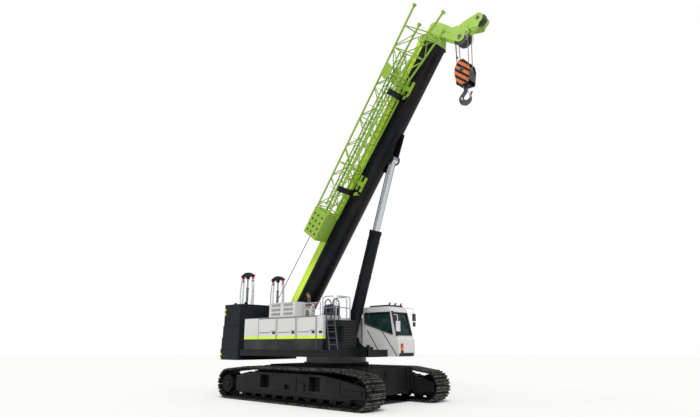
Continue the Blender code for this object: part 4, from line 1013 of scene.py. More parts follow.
def build_roof_gear(sizes):
    """Guard mesh round the silencer, the white air pipe, hoses and couplings on the roof."""
    low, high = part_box("exhaust_silencer")
    centre = Vector(((low.x + high.x) / 2 + 0.05, (low.y + high.y) / 2, 0))
    roof = HOUSE[1].z
    ring = circle(centre, 0.175, 22)
    uprights = [[p + Vector((0, 0, roof + 0.01)), p + Vector((0, 0, roof + 0.34))] for p in ring]
    bars("silencer_guard", uprights, 0.006, "galvanised_steel", 6)
    hoops = [[p + Vector((0, 0, roof + z)) for p in ring] for z in (0.02, 0.10, 0.18, 0.26, 0.34)]
    bars("silencer_hoops", hoops, 0.007, "galvanised_steel", 6, True)
    start = on_upper(-0.06, -1.24, roof)
    bend = [start, start + Vector((0, 0, 0.22))]
    bend += [
        start + Vector((0.05, 0, 0.30)),
        start + Vector((0.13, 0, 0.355)),
        start + Vector((0.24, 0, 0.375)),
    ]
    bars("air_pipe", [bend], 0.040, "light_enamel", 14)
    work = bmesh.new()
    tip = bend[-1]
    add_rod(work, tip - Vector((0.03, 0, 0.002)), tip + Vector((0.05, 0, 0.004)), 0.046, 16)
    fitted("pipe_cap", work, "signal_red", 0.006)
    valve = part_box("hydraulic_valve_block")
    work = bmesh.new()
    lines = []
    y, top = valve[0].y, valve[1].z
    for i in range(5):
        x = valve[0].x + 0.05 + i * 0.08
        add_rod(work, (x, y - 0.05, top - 0.09), (x, y + 0.02, top - 0.09), 0.028, 12)
        add_rod(work, (x, y + 0.10, top - 0.01), (x, y + 0.10, top + 0.05), 0.024, 12)
        line = [(x, y - 0.05, top - 0.09), (x, y - 0.10, top - 0.11)]
        lines.append(line + [(x, y - 0.12, roof + 0.05), (x, y - 0.08, roof + 0.01)])
    fitted("valve_spools", work, "black_polymer", 0.003)
    bars("valve_hoses", lines, sizes.hose, "hose_rubber")
    strut = [[on_upper(-0.22, -1.30, roof + 0.30), on_upper(0.14, -1.26, roof + 0.06)]]
    bars("roof_strut", strut, 0.018, "light_enamel")


# ---- ballast and its lifts ----
def build_ballast():
    """Slab joints, warning flashes on the rear corners and lifting lugs."""
    work = bmesh.new()
    for i in range(1, 4):
        low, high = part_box(f"counterweight_slab_{i}")
        for side in (-1, 1):
            y = side * high.y
            first = (low.x + 0.11, y, high.z - 0.009)
            add_box(work, first, (high.x - 0.13, y + side * 0.004, high.z + 0.009))
    fitted("slab_joints", work, "joint_shadow")
    work = bmesh.new()
    for slab in (4, 1):
        low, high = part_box(f"counterweight_slab_{slab}")
        base = high.z - 0.36 if slab == 4 else low.z + 0.04
        for side in (-1, 1):
            rear = Vector((low.x - 0.001, side * (high.y - 0.10) + side * 0.001, 0))
            corner = Vector((low.x + 0.10 - 0.001, side * high.y + side * 0.001, 0))
            edge = Vector((low.x + 0.10, side * high.y + side * 0.004, 0))
            front = edge + Vector((0.09, 0, 0))
            for z in (base, base + 0.17):
                flash = ((rear, 0.09), (corner, 0), (corner, 0.085), (rear, 0.175))
                fold = ((edge, 0), (front, -0.075), (front, 0.01), (edge, 0.085))
                for outline in (flash, fold):
                    corners = [place + Vector((0, 0, z + lift)) for place, lift in outline]
                    add_plate(work, corners if side < 0 else corners[::-1], 0.002)
    fitted("corner_flashes", work, "signal_yellow")
    low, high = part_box("counterweight_slab_4")
    work = bmesh.new()
    for x in (low.x + 0.30, high.x - 0.25):
        for y in (-1.15, 1.15):
            add_rod(work, (x, y - 0.03, high.z + 0.02), (x, y + 0.03, high.z + 0.02), 0.075, 20)
            add_box(work, (x - 0.09, y - 0.03, high.z - 0.002), (x + 0.09, y + 0.03, high.z + 0.02))
    fitted("slab_lugs", work, "ballast_enamel", 0.004)


def chain_pair(name, shift, along, across, straight, thickness, sides, steps):
    """Two links of a chain along X, the second a quarter turn from the first."""
    work = bmesh.new()
    for middle, turned in ((-shift, False), (shift, True)):
        loop = []
        for a in even_turns(steps):
            x = middle + along * math.cos(a) + math.copysign(straight, math.cos(a))
            y = across * math.sin(a)
            loop.append(Vector((x, y, 0)) if turned else Vector((x, 0, y)))
        for i in range(steps):
            add_rod(work, loop[i - 1], loop[i], thickness, sides)
    return pattern(name, work)


def build_lifts():
    """The ballast lifts: a peaked crossbeam on a bright rod, its tube, shackles and chains."""
    link = chain_pair("chain_shape", 0.035, 0.026, 0.026, 0.018, 0.010, 5, 12)
    bolt = bolt_head(*SMALL_BOLT)
    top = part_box("counterweight_slab_4")[1].z
    for label in ("right", "left"):
        body = f"lift_bar_{label}"
        low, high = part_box(f"ballast_lift_bar_{label}")
        x, y = (low.x + high.x) / 2, (low.y + high.y) / 2
        half, crest = (high.x - low.x) / 2, high.z
        work = bmesh.new()
        outline = [
            (x - half, crest - 0.17),
            (x + half, crest - 0.17),
            (x + half, crest - 0.11),
            (x + 0.11, crest),
        ]
        add_prism(
            work, outline + [(x - 0.11, crest), (x - half, crest - 0.11)], y - 0.085, y + 0.085
        )
        add_rod(work, (x, y, crest - 0.26), (x, y, crest - 0.165), 0.075, 20)
        beam = fitted(
            f"{body}_crossbeam", work, "dark_enamel", 0.006, body=body
        )
        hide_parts(f"ballast_lift_bar_{label}")
        work = bmesh.new()
        add_rod(work, (x, y, top + 0.335), (x, y, crest - 0.25), 0.034, 20)
        fitted(f"{body}_rod", work, "hard_chrome", body=body)
        work = bmesh.new()
        add_rod(work, (x, y, top + CLEAR), (x, y, top + 0.03), 0.13, 24)
        add_ring(work, (x, y, top + 0.03), (x, y, top + 0.66), 0.050, 0.036, 24)
        add_ring(work, (x, y, top + 0.66), (x, y, top + 0.71), 0.060, 0.036, 24)
        tube = fitted(f"lift_tube_{label}", work, "bright_pin_steel", 0.003)
        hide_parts(f"ballast_lift_barrel_{label}")
        ring = circle((x, y, top + 0.03), 0.1, 8)
        studs(f"lift_bolts_{label}", bolt, ring, UPWARD, "dark_enamel")
        work = bmesh.new()
        for end in (x - half + 0.04, x + half - 0.04):
            add_rod(work, (end, y - 0.06, crest - 0.20), (end, y + 0.06, crest - 0.20), 0.040, 12)
            add_rod(work, (end, y, crest - 0.33), (end, y, crest - 0.19), 0.034, 10)
            add_rod(work, (end, y - 0.05, crest - 0.34), (end, y + 0.05, crest - 0.34), 0.026, 10)
        fitted(f"{body}_shackles", work, "signal_red", 0.006, body=body)
        for k, (way, across) in enumerate(((-1, -0.05), (-1, 0.05), (1, -0.05), (1, 0.05))):
            end = x + way * (half - 0.04)
            path = []
            for i in range(13):
                t = i / 12
                bulge = way * (0.06 if across < 0 else 0.015) * math.sin(math.pi * t)
                z = crest - 0.34 - t * (crest - 0.36 - top)
                path.append((end + bulge + way * 0.02 * t, y + across, z))
            both = (UPPER, body, Vector(path[-1]), Vector(path[0]))
            row(f"{body}_chain_{k + 1}", link, path, 8, "galvanised_steel", body=both)


# ---- front of the deck ----
def build_front(sizes):
    """Slats on the front cabinet, the ladder, and what stands round the cylinder's foot."""
    low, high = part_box("front_cabinet")
    work = bmesh.new()
    add_prism(work, [(-0.29, -0.014), (0.29, -0.014), (0.29, 0.012), (-0.29, 0.012)], -0.016, 0.004)
    slat = pattern("cabinet_slat_shape", work)
    centre = (low.x + high.x) / 2
    heights = [low.z + 0.10 + 0.083 * i for i in range(11)]
    places = [(centre, low.y - 0.002, z) for z in heights]
    studs("cabinet_slats", slat, places, UPWARD, "black_polymer")
    places = [(high.x + 0.002, low.y + 0.40, z) for z in heights]
    studs("cabinet_front_slats", slat, places, (0, 0, math.pi / 2), "black_polymer")
    build_ladder()
    foot = on_upper(0.635, 0, 1.96)
    lines = []
    for i, y in enumerate((-0.58, -0.54, -0.50, -0.46)):
        start = Vector((foot.x + 0.28 + 0.07 * i, y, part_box("house_right")[0].z + CLEAR))
        line = [
            start,
            start + Vector((0.04, -0.03, 0.24 + 0.03 * i)),
            start + Vector((-0.05, -0.03, 0.40 + 0.04 * i)),
        ]
        line += [
            start + Vector((-0.20, 0.03, 0.46 + 0.03 * i)),
            Vector((foot.x - 0.12 + 0.09 * i, -0.382, 2.14 + 0.02 * i)),
        ]
        lines.append(line)
    bars("foot_hoses", lines, sizes.hose, "hose_rubber")
    work = bmesh.new()
    for line in lines:
        for first, second in ((line[0], line[1]), (line[-1], line[-2]), (line[1], line[2])):
            way = (second - first).normalized()
            add_rod(work, first, first + way * 0.07, sizes.hose * 1.5, 6)
            add_rod(work, first + way * 0.05, first + way * 0.11, sizes.hose * 1.25, 12)
    fitted("hose_fittings", work, "galvanised_steel", 0.002)
    work = bmesh.new()
    for side in (-1, 1):
        add_pin(work, foot, side * 0.35, side * 0.37, 0.085, 20)
        add_pin(work, foot, side * 0.37, side * 0.385, 0.045, 6)
    add_rod(work, foot + Vector((0.12, -0.38, 0.10)), foot + Vector((0.12, -0.30, 0.10)), 0.05, 12)
    add_rod(work, foot + Vector((0.30, -0.40, 0.16)), foot + Vector((0.30, -0.30, 0.16)), 0.04, 12)
    fitted("foot_pins", work, "bright_pin_steel", 0.004)
    tongue = on_upper(1.90, 0, DECK_TOP)
    work = bmesh.new()
    add_box(work, tongue + Vector((-0.30, -0.50, 0)), tongue + Vector((-0.04, -0.20, 0.10)))
    add_box(work, tongue + Vector((-0.06, -0.52, -0.20)), tongue + Vector((0.02, -0.44, 0.16)))
    add_box(work, tongue + Vector((-1.9, -0.51, 0.0)), tongue + Vector((-0.05, -0.46, 0.06)))
    fitted("tongue_fittings", work, "dark_enamel", 0.006)
    plate = bmesh.new()
    points = [(-0.75, 0.0), (0.62, 0.0), (0.60, 0.30), (0.28, 0.62), (-0.18, 0.72), (-0.62, 0.40)]
    add_prism(plate, [(foot.x + a, DECK_TOP + b) for a, b in points], -BOOM_SIDE - 0.02, -BOOM_SIDE)
    fitted("foot_gusset", plate, "dark_enamel", 0.004)


def rounded(points, radius=0.1, steps=5):
    """A line through points with its inner corners turned on an arc-like curve."""
    line = [Vector(points[0])]
    for before, corner, after in zip(points, points[1:], points[2:]):
        corner = Vector(corner)
        enter = corner + (Vector(before) - corner).normalized() * radius
        leave = corner + (Vector(after) - corner).normalized() * radius
        for i in range(steps + 1):
            t = i / steps
            line.append(enter * (1 - t) ** 2 + corner * 2 * t * (1 - t) + leave * t**2)
    return line + [Vector(points[-1])]


def build_ladder():
    """The leaning ladder up to the cabinet roof and the hoops that guard the roof."""
    cabinet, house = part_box("front_cabinet"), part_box("house_right")
    deck = house[0].z
    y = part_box("ladder_and_guard_rails")[0].y + 0.022
    lines, foot, lean, rise = [], SLEW.x + 1.08, LADDER_LEAN, LADDER_RISE
    for x in (foot, foot + LADDER_WIDTH):
        points = [
            (x, y, deck + CLEAR),
            (x + lean, y, deck + rise),
            (x + lean, y + 0.16, deck + rise + 0.10),
        ]
        points += [(x + lean, y + 0.30, deck + rise), (x + lean, y + 0.30, cabinet[1].z + CLEAR)]
        lines.append(rounded(points, 0.07))
    lines[0][-1].z = cabinet[1].z + CLEAR if foot + lean > house[1].x else house[1].z + CLEAR
    bars("ladder_stiles", lines, 0.020, "ladder_enamel")
    work = bmesh.new()
    for i in range(7):
        t = 0.11 + 0.128 * i
        x, z = foot + lean * t, deck + rise * t
        add_box(work, (x, y - 0.022, z - 0.012), (x + LADDER_WIDTH, y + 0.030, z + 0.012))
    steps = fitted("ladder_steps", work, "ladder_enamel", 0.004)
    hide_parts("ladder_and_guard_rails")
    top, knee = 3.43, 3.06
    side, inner = house[0].y + 0.17, -0.68
    rear, front, edge = SLEW.x + 0.62, SLEW.x + 1.14, SLEW.x + 1.19
    on_house, on_cabinet = house[1].z + CLEAR, cabinet[1].z + CLEAR
    outlines = (
        ((rear, side, on_house), (front, side, on_cabinet)),
        ((edge, -1.28, on_cabinet), (edge, -0.60, on_cabinet)),
        ((rear, inner, on_house), (edge - 0.08, inner, on_cabinet)),
    )
    first, second, third = [
        rounded([start, (*start[:2], top), (*end[:2], top), end]) for start, end in outlines
    ]
    hoops = [first, second, [(rear, side, knee), (front, side, knee)]]
    hoops += [[(edge, -1.28, knee), (edge, -0.60, knee)], third]
    bars("guard_hoops", hoops, 0.019, "galvanised_steel", 10)


# ---- cab ----
def slanted(first, second, width, y, out):
    """Corners of a strip between two points on a side wall."""
    along = Vector((second[0] - first[0], 0, second[1] - first[1])).normalized()
    across = Vector((-along.z, 0, along.x)) * width / 2
    a, b = Vector((first[0], y, first[1])), Vector((second[0], y, second[1]))
    corners = [a - across, b - across, b + across, a + across]
    return corners if out < 0 else corners[::-1]


def build_cab(sizes):
    """Window rubbers, panel joints, wiper, lamps, grille, hatch ribs and roof gutter."""
    low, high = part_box("cab_shell")
    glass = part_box("cab_glass_right")
    side = glass[0].y - 0.015
    cab_x = SLEW.x
    window = [(0.90, 2.60), (2.12, 2.21), (2.01, 2.95), (0.90, 2.95)]
    frame_line = [(cab_x + x, side - 0.002, z) for x, z in window]
    bars("side_window_rubber", [frame_line], 0.028, "hose_rubber", 6, True)
    work = bmesh.new()
    joints = (
        ((1.02, 2.55), (1.62, 2.37)), ((1.62, 2.37), (2.30, 1.50)), ((1.00, 2.36), (1.62, 1.50))
    )
    for first, second in joints:
        a, b = (cab_x + first[0], first[1]), (cab_x + second[0], second[1])
        add_plate(work, slanted(a, b, sizes.seam * 1.6, side - 0.001, -1), 0.003)
    fitted("cab_joints", work, "joint_shadow")
    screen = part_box("windscreen")
    y0, y1 = screen[0].y, screen[1].y
    bottom = Vector((screen[1].x + 0.012, 0, screen[0].z))
    top = Vector((screen[0].x + 0.012, 0, screen[1].z))
    loop = [
        bottom + Vector((0.02, y0, 0)),
        bottom + Vector((0.02, y1, 0)),
        top + Vector((0.02, y1, 0)),
        top + Vector((0.02, y0, 0)),
    ]
    bars("screen_rubber", [loop], 0.030, "hose_rubber", 6, True)
    pillar = [
        [bottom + Vector((0.02, low.y + 0.125, -0.04)), top + Vector((0.02, low.y + 0.125, 0.05))]
    ]
    bars("corner_pillar", pillar, 0.042, "black_polymer")
    slope = top - bottom
    arm = bottom + slope * 0.04 + Vector((0.045, (y0 + y1) / 2 + 0.1, 0))
    blade = [arm + slope * 0.30 + Vector((0, -0.12, 0)), arm + slope * 0.85 + Vector((0, -0.10, 0))]
    bars("wiper", [[arm, blade[0]], blade], 0.010, "black_polymer", 6)
    body_front = cab_x + 2.35
    work = bmesh.new()
    yl = low.y + 0.30
    add_box(work, (body_front - 0.01, yl - 0.07, 1.60), (body_front + 0.012, yl + 0.07, 1.90))
    fitted("lamp_housing", work, "black_polymer", 0.005)
    for name, finish, z0, z1 in (
        ("stop_lamp", "red_lens", 1.78, 1.885), ("turn_lamp", "amber_lens", 1.67, 1.775)
    ):
        work = bmesh.new()
        add_box(work, (body_front + 0.004, yl - 0.055, z0), (body_front + 0.022, yl + 0.055, z1))
        fitted(name, work, finish, 0.006)
    work = bmesh.new()
    add_box(
        work, (body_front - 0.04, low.y + 0.17, 1.485), (body_front + 0.012, high.y - 0.10, 1.60)
    )
    fitted("grille_back", work, "black_polymer", 0.004)
    work = bmesh.new()
    add_box(work, (-0.004, -0.36, -0.006), (0.010, 0.36, 0.006))
    rib = pattern("grille_rib_shape", work)
    places = [(body_front + 0.004, (low.y + 0.09 + high.y) / 2, 1.50 + 0.028 * i) for i in range(3)]
    studs("grille_ribs", rib, places, UPWARD, "dark_enamel")
    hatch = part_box("cab_roof_hatch")
    work = bmesh.new()
    for i in range(7):
        y = hatch[0].y + 0.06 + i * (hatch[1].y - hatch[0].y - 0.12) / 6
        add_box(
            work,
            (hatch[0].x + 0.04, y - 0.018, hatch[1].z - 0.002),
            (hatch[1].x - 0.04, y + 0.018, hatch[1].z + 0.014),
        )
    fitted("hatch_ribs", work, "black_polymer", 0.006)
    build_seat()
    build_roof_lamps(hatch[1].x + 0.05, low.y + 0.09, high.y)
    work = bmesh.new()
    add_box(work, (low.x + 0.16, low.y + 0.10, 3.05), (cab_x + 1.90, low.y + 0.115, 3.10))
    for x in (low.x + 0.10, cab_x + 1.50):
        add_box(work, (x, low.y + 0.085, 1.50), (x + 0.03, low.y + 0.10, 1.53))
    fitted("roof_gutter", work, "light_enamel", 0.003)


def add_cushion(work, low, high, crown):
    """A cushion in empty mesh work: a crowned form whose edges are rounded off."""
    low, high = Vector(low), Vector(high)
    bmesh.ops.create_cube(work, size=2)
    bmesh.ops.subdivide_edges(work, edges=work.edges[:], cuts=7, use_grid_fill=True)
    middle, half = (low + high) / 2, (high - low) / 2
    for vert in work.verts:
        x, y, z = vert.co
        full = (1 - (x * y) ** 2) * (1 - (y * z) ** 2) * (1 - (x * z) ** 2)
        round_off = 1 - crown + crown * full
        vert.co = middle + Vector((x * half.x, y * half.y, z * half.z)) * round_off


def build_seat():
    """The driver's seat: a cushion, a back and a headrest on a sprung base with two arms."""
    low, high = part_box("operator_seat")
    y0, y1 = low.y + 0.01, high.y - 0.01
    back = low.x + 0.16
    cushions = (
        (
            "seat_cushion",
            (back + 0.01, y0, low.z + 0.40),
            (high.x - 0.01, y1, low.z + 0.55),
            0.16,
            0.7,
        ),
        (
            "seat_back",
            (low.x + 0.02, y0 + 0.01, low.z + 0.50),
            (back, y1 - 0.01, low.z + 0.93),
            0.14,
            0.7,
        ),
        (
            "seat_headrest",
            (low.x + 0.03, y0 + 0.10, low.z + 0.96),
            (back - 0.02, y1 - 0.10, high.z - 0.01),
            0.2,
            0.7,
        ),
    )
    for index, (name, first, second, crown, fill) in enumerate(cushions):
        work = bmesh.new()
        add_cushion(work, first, second, crown)
        made = fitted(name, work, "woven_cloth", 0.0, 60)
        if index == 0:
            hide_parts("operator_seat")
    work = bmesh.new()
    x0, x1 = back + 0.06, high.x - 0.08
    add_box(work, (x0, y0 + 0.06, low.z), (x1, y1 - 0.06, low.z + 0.05))
    add_box(work, (x0 + 0.02, y0 + 0.08, low.z + 0.34), (x1 - 0.02, y1 - 0.08, low.z + 0.402))
    for i in range(5):
        z = low.z + 0.05 + 0.058 * i
        add_box(work, (x0 + 0.03, y0 + 0.09, z), (x1 - 0.03, y1 - 0.09, z + 0.045))
    for y in (y0 + 0.015, y1 - 0.035):
        add_box(work, (back - 0.02, y, low.z + 0.66), (high.x - 0.14, y + 0.02, low.z + 0.70))
    for y in ((y0 + y1) / 2 - 0.05, (y0 + y1) / 2 + 0.03):
        add_box(work, (back - 0.10, y, low.z + 0.90), (back - 0.08, y + 0.015, low.z + 1.0))
    fitted("seat_base", work, "black_polymer", 0.004)


def build_roof_lamps(x, y_low, y_high):
    """The lamps on the cab roof, and the mirrors on their arm."""
    housings, lenses = bmesh.new(), bmesh.new()
    roof = CAB_ROOF
    for y in (y_low + 0.10, y_low + 0.42, y_high - 0.20):
        add_rod(
            housings, (x - 0.06, y, roof + 0.085), (x + 0.01, y, roof + 0.080), 0.045, 18, 0.058
        )
        add_box(housings, (x - 0.04, y - 0.012, roof - 0.002), (x - 0.01, y + 0.012, roof + 0.05))
        add_rod(lenses, (x + 0.009, y, roof + 0.080), (x + 0.016, y, roof + 0.080), 0.052, 18)
    add_box(
        housings, (x - 0.20, y_low + 0.14, roof - 0.002), (x - 0.08, y_high - 0.30, roof + 0.05)
    )
    fitted("roof_lamp_housings", housings, "black_polymer", 0.004)
    fitted("roof_lamp_lenses", lenses, "clear_lens", 0.003)
    arm_start = Vector((SLEW.x + 1.98, y_high - 0.06, 3.10))
    route = [
        arm_start, arm_start + Vector((0.18, 0.05, 0.02)), arm_start + Vector((0.34, 0.07, -0.03))
    ]
    route += [arm_start + Vector((0.37, 0.07, -0.10)), arm_start + Vector((0.37, 0.07, -0.60))]
    bars("mirror_arm", [route], 0.013, "light_enamel")
    work = bmesh.new()
    base = arm_start + Vector((0.37, 0.07, -0.42))
    add_box(work, base + Vector((-0.025, -0.09, -0.02)), base + Vector((0.012, 0.09, 0.24)))
    add_box(work, base + Vector((-0.025, -0.07, -0.20)), base + Vector((0.012, 0.07, -0.05)))
    fitted("mirror_heads", work, "black_polymer", 0.012)


# ---- boom ----
def build_boom(sizes):
    """Edge flanges, collar bolts, pin caps, pipes along the side and the rope to the jib."""
    bolt = bolt_head(*SMALL_BOLT)
    work = bmesh.new()
    for side in (-1, 1):
        a, b = (on_boom(u, 0.345, side * BOOM_SIDE) for u in BOOM_RUN)
        lift = Vector((0, side * 0.014, 0))
        width = BOOM_UP * 0.018
        corners = [a - width + lift, b - width + lift, b + width + lift, a + width + lift]
        add_plate(work, corners if side < 0 else corners[::-1], -0.012)
    fitted("boom_edge_flanges", work, "boom_band_enamel", body="boom")
    for label, side, out in (("right", -1, OUT_RIGHT), ("left", 1, OUT_LEFT)):
        places = [on_boom(11.31, n, side * (BOOM_SIDE + 0.03)) for n in (-0.12, 0.0, 0.12, 0.24)]
        studs(f"collar_bolts_{label}", bolt, places, out, "boom_enamel", body="boom")
    work = bmesh.new()
    for side in (-1, 1):
        add_pin(work, CYLINDER_PIN, side * 0.195, side * 0.225, 0.085, 24)
        add_pin(work, CYLINDER_PIN, side * 0.225, side * 0.24, 0.04, 6)
    fitted("cylinder_pin_caps", work, "boom_enamel", 0.005, body="boom")
    work = bmesh.new()
    for side in (-1, 1):
        add_pin(work, BOOM_FOOT, side * 0.57, side * 0.585, 0.12, 24)
    fitted("foot_pin_caps", work, "dark_enamel", 0.004)
    build_collars()
    build_saddles()
    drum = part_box("main_winch_drum")
    start = Vector(((drum[0].x + drum[1].x) / 2 - 0.08, -0.34, 2.93 + 0.21))
    end = on_boom(3.46, 0.66, -0.70)
    rope = [start.lerp(end, i / 24) for i in range(25)]
    ends = (UPPER, "boom", start, end)
    bars("winch_rope", [rope], sizes.rope, "laid_rope", body=ends)
    pipe_y = -BOOM_SIDE - 0.004
    pipes = [[on_boom(0.8, n, pipe_y), on_boom(BOOM_RUN[1], n, pipe_y)] for n in (-0.10, -0.02)]
    bars("boom_side_pipes", pipes, 0.010, "boom_enamel", 6, body="boom")


def add_boom_box(work, along, up, across):
    """A box with its sides along the boom, square to it and across it."""
    size = Matrix.Diagonal((along[1] - along[0], up[1] - up[0], across[1] - across[0], 1))
    turn = Matrix((BOOM_ALONG, BOOM_UP, Vector((0, 1, 0)))).transposed().to_4x4()
    middle = on_boom(sum(along) / 2, sum(up) / 2, sum(across) / 2)
    bmesh.ops.create_cube(work, size=1, matrix=Matrix.Translation(middle) @ turn @ size)


def build_collars():
    """Dark gaps between the collars of the sections, on each collar's front face."""
    for k, body in enumerate(("boom", "section_2", "section_3", "section_4", "boom_tip")):
        half, tall = 0.39 - 0.03 * k, 0.498 - 0.03 * k
        at = (COLLAR + COLLAR_STEP * k, COLLAR + 0.0045 + COLLAR_STEP * k)
        work = bmesh.new()
        for side in (-1, 1):
            add_boom_box(
                work,
                at,
                (-tall * 0.45, tall * 0.93),
                sorted((side * (half - 0.022), side * (half - 0.001))),
            )
        add_boom_box(work, at, (tall - 0.022, tall - 0.001), (-half * 0.9, half * 0.9))
        fitted(f"{body}_collar_gap", work, "joint_shadow", body=body)


def build_saddles():
    """The clamps that hold the stowed jib to the side of the boom."""
    for k, u in enumerate((5.95, 9.62)):
        work = bmesh.new()
        for n in (-0.37, -0.15):
            add_boom_box(work, (u - 0.22, u + 0.34), (n, n + 0.09), (-0.425, -0.3665))
        add_boom_box(work, (u - 0.03, u + 0.13), (-0.37, 0.06), (-0.47, -0.40))
        add_boom_box(work, (u, u + 0.10), (-0.10, -0.02), (-0.98, -0.43))
        fitted(f"jib_clamp_{k + 1}", work, "jib_enamel", 0.006, body="boom")


def build_cylinder():
    """Barrel bands, the port block and its oil pipe, and the wiper at the gland."""
    barrel_top = CYLINDER_PIN + CYLINDER_DOWN * 2.60
    work = bmesh.new()
    for at in (0.35, 1.60, 2.85):
        start = barrel_top + CYLINDER_DOWN * at
        add_ring(work, start, start + CYLINDER_DOWN * 0.05, 0.222, 0.205, 40)
    port = barrel_top + CYLINDER_DOWN * 0.16 + Vector((0, -0.20, 0))
    add_box(work, port - Vector((0.05, 0.05, 0.05)), port + Vector((0.05, 0.03, 0.05)))
    fitted("barrel_bands", work, "boom_enamel", 0.004, body="luff_barrel")
    pipe = [port + Vector((0, -0.03, 0)), port + CYLINDER_DOWN * 0.12 + Vector((0, -0.045, 0))]
    pipe += [
        port + CYLINDER_DOWN * 3.2 + Vector((0, -0.045, 0)),
        port + CYLINDER_DOWN * 3.35 + Vector((0, 0.0, 0)),
    ]
    bars("barrel_oil_pipe", [pipe], 0.014, "boom_enamel", body="luff_barrel")
    work = bmesh.new()
    start = barrel_top - CYLINDER_DOWN * 0.03
    add_ring(work, start, start + CYLINDER_DOWN * 0.035, 0.155, 0.132, 32)
    fitted("gland_wiper", work, "black_polymer", 0.003, body="luff_barrel")


def build_head():
    """Pin caps, bosses, bolts and the rope guard of the boom head."""
    bolt = bolt_head(*SMALL_BOLT)
    caps = bmesh.new()
    for axle, radius in ((HEAD_AXLE, 0.075), (TIP_AXLE, 0.06)):
        for side in (-1, 1):
            add_pin(caps, axle, side * CHEEK, side * (CHEEK + 0.022), radius, 22)
            add_pin(caps, axle, side * (CHEEK + 0.02), side * (CHEEK + 0.034), radius * 0.45, 6)
    fitted("head_pin_caps", caps, "bright_pin_steel", 0.004, body="boom_tip")
    work = bmesh.new()
    for side in (-1, 1):
        for u, n in ((11.95, -0.55), (12.02, -0.30), (12.30, -1.16)):
            add_pin(work, on_boom(u, n, side * CHEEK), 0, side * 0.012, 0.055, 18)
    # bosses, bolts and rope guard in the head's lighter green, which paints light on them
    fitted("head_bosses", work, "lit_head_enamel", 0.004, body="boom_tip")
    places = [on_boom(u, n, -CHEEK) for u, n in ((12.0, 0.05), (12.0, 0.2), (11.9, -0.1))]
    studs("head_bolts", bolt, places, OUT_RIGHT, "lit_head_enamel", body="boom_tip")
    turns = [math.radians(20 * turn + 35) for turn in range(-4, 5)]
    guard = [HEAD_AXLE + Vector((math.cos(a), 0, math.sin(a))) * 0.275 for a in turns]
    lines = [[p + Vector((0, y, 0)) for p in guard] for y in (-0.19, 0.19)]
    bars("rope_guard", lines, 0.008, "lit_head_enamel", 6, body="boom_tip")


def build_jib():
    """The second jib length stowed inside the first, with gussets, wires and box holes."""
    tube, thin = [], []
    near, far = -0.90, -0.58
    low, high = 0.10, 0.44
    start, stop, bays = 4.75, 10.7, 13
    for y in (near, far):
        for n in (low, high):
            tube.append([on_boom(start, n, y), on_boom(stop, n, y)])
    pitch = (stop - start) / bays
    for i in range(bays):
        a, b = start + i * pitch, start + (i + 1) * pitch
        flip = i % 2 == 0
        for y in (near, far):
            thin.append(
                [on_boom(a, low if flip else high, y), on_boom(b, high if flip else low, y)]
            )
        for n in (low, high):
            thin.append(
                [on_boom(a, n, near if flip else far), on_boom(b, n, far if flip else near)]
            )
        thin.append([on_boom(a, low, near), on_boom(a, high, near)])
    bars("inner_jib_chords", tube, 0.024, "jib_enamel", body="boom")
    bars("inner_jib_braces", thin, 0.013, "jib_enamel", 6, body="boom")
    wires = [4.75 + i * 0.215 for i in range(0, 24, 3)]
    wires = [[on_boom(u, 0.60, y) for y in (-0.95, -0.49)] for u in wires]
    bars("jib_cross_wires", wires, 0.010, "jib_enamel", 6, body="boom")
    work = bmesh.new()
    points = [(9.72, 0.72), (9.62, 0.46), (9.78, 0.30), (10.10, 0.36), (10.22, 0.70)]
    for y in (-0.98, -0.46):
        add_plate(work, [on_boom(u, n, y) for u, n in points], 0.018)
    for u in (5.55, 9.30):
        a = on_boom(u, -0.22, -0.42)
        add_box(work, a - Vector((0.10, 0.0, 0.02)), a + Vector((0.10, 0.10, 0.10)))
    fitted("jib_gussets", work, "jib_enamel", 0.003, body="boom")
    box_holes = bmesh.new()
    for i in range(4):
        for n in (0.18, 0.42, 0.62):
            add_pin(box_holes, on_boom(3.62 + i * 0.22, n, -1.026), 0, 0.004, 0.052, 16)
    fitted("jib_box_holes", box_holes, "seam_shadow", body="boom")


def build_winches(sizes):
    """Rope wound on each drum."""
    for name, body in (
        ("main_winch_drum", "main_drum"), ("auxiliary_winch_drum", "auxiliary_drum")
    ):
        low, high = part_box(name)
        centre = (low + high) / 2
        turns, count = [], 24
        radius = DRUM_RADIUS + sizes.rope
        span = high.y - low.y - 0.18
        for i in range(count):
            y = centre.y - span / 2 + span * i / (count - 1)
            turns.append(circle((centre.x, y, centre.z), radius, 28, True))
        bars(f"{body}_rope", turns, sizes.rope, "laid_rope", 6, True, body=body)


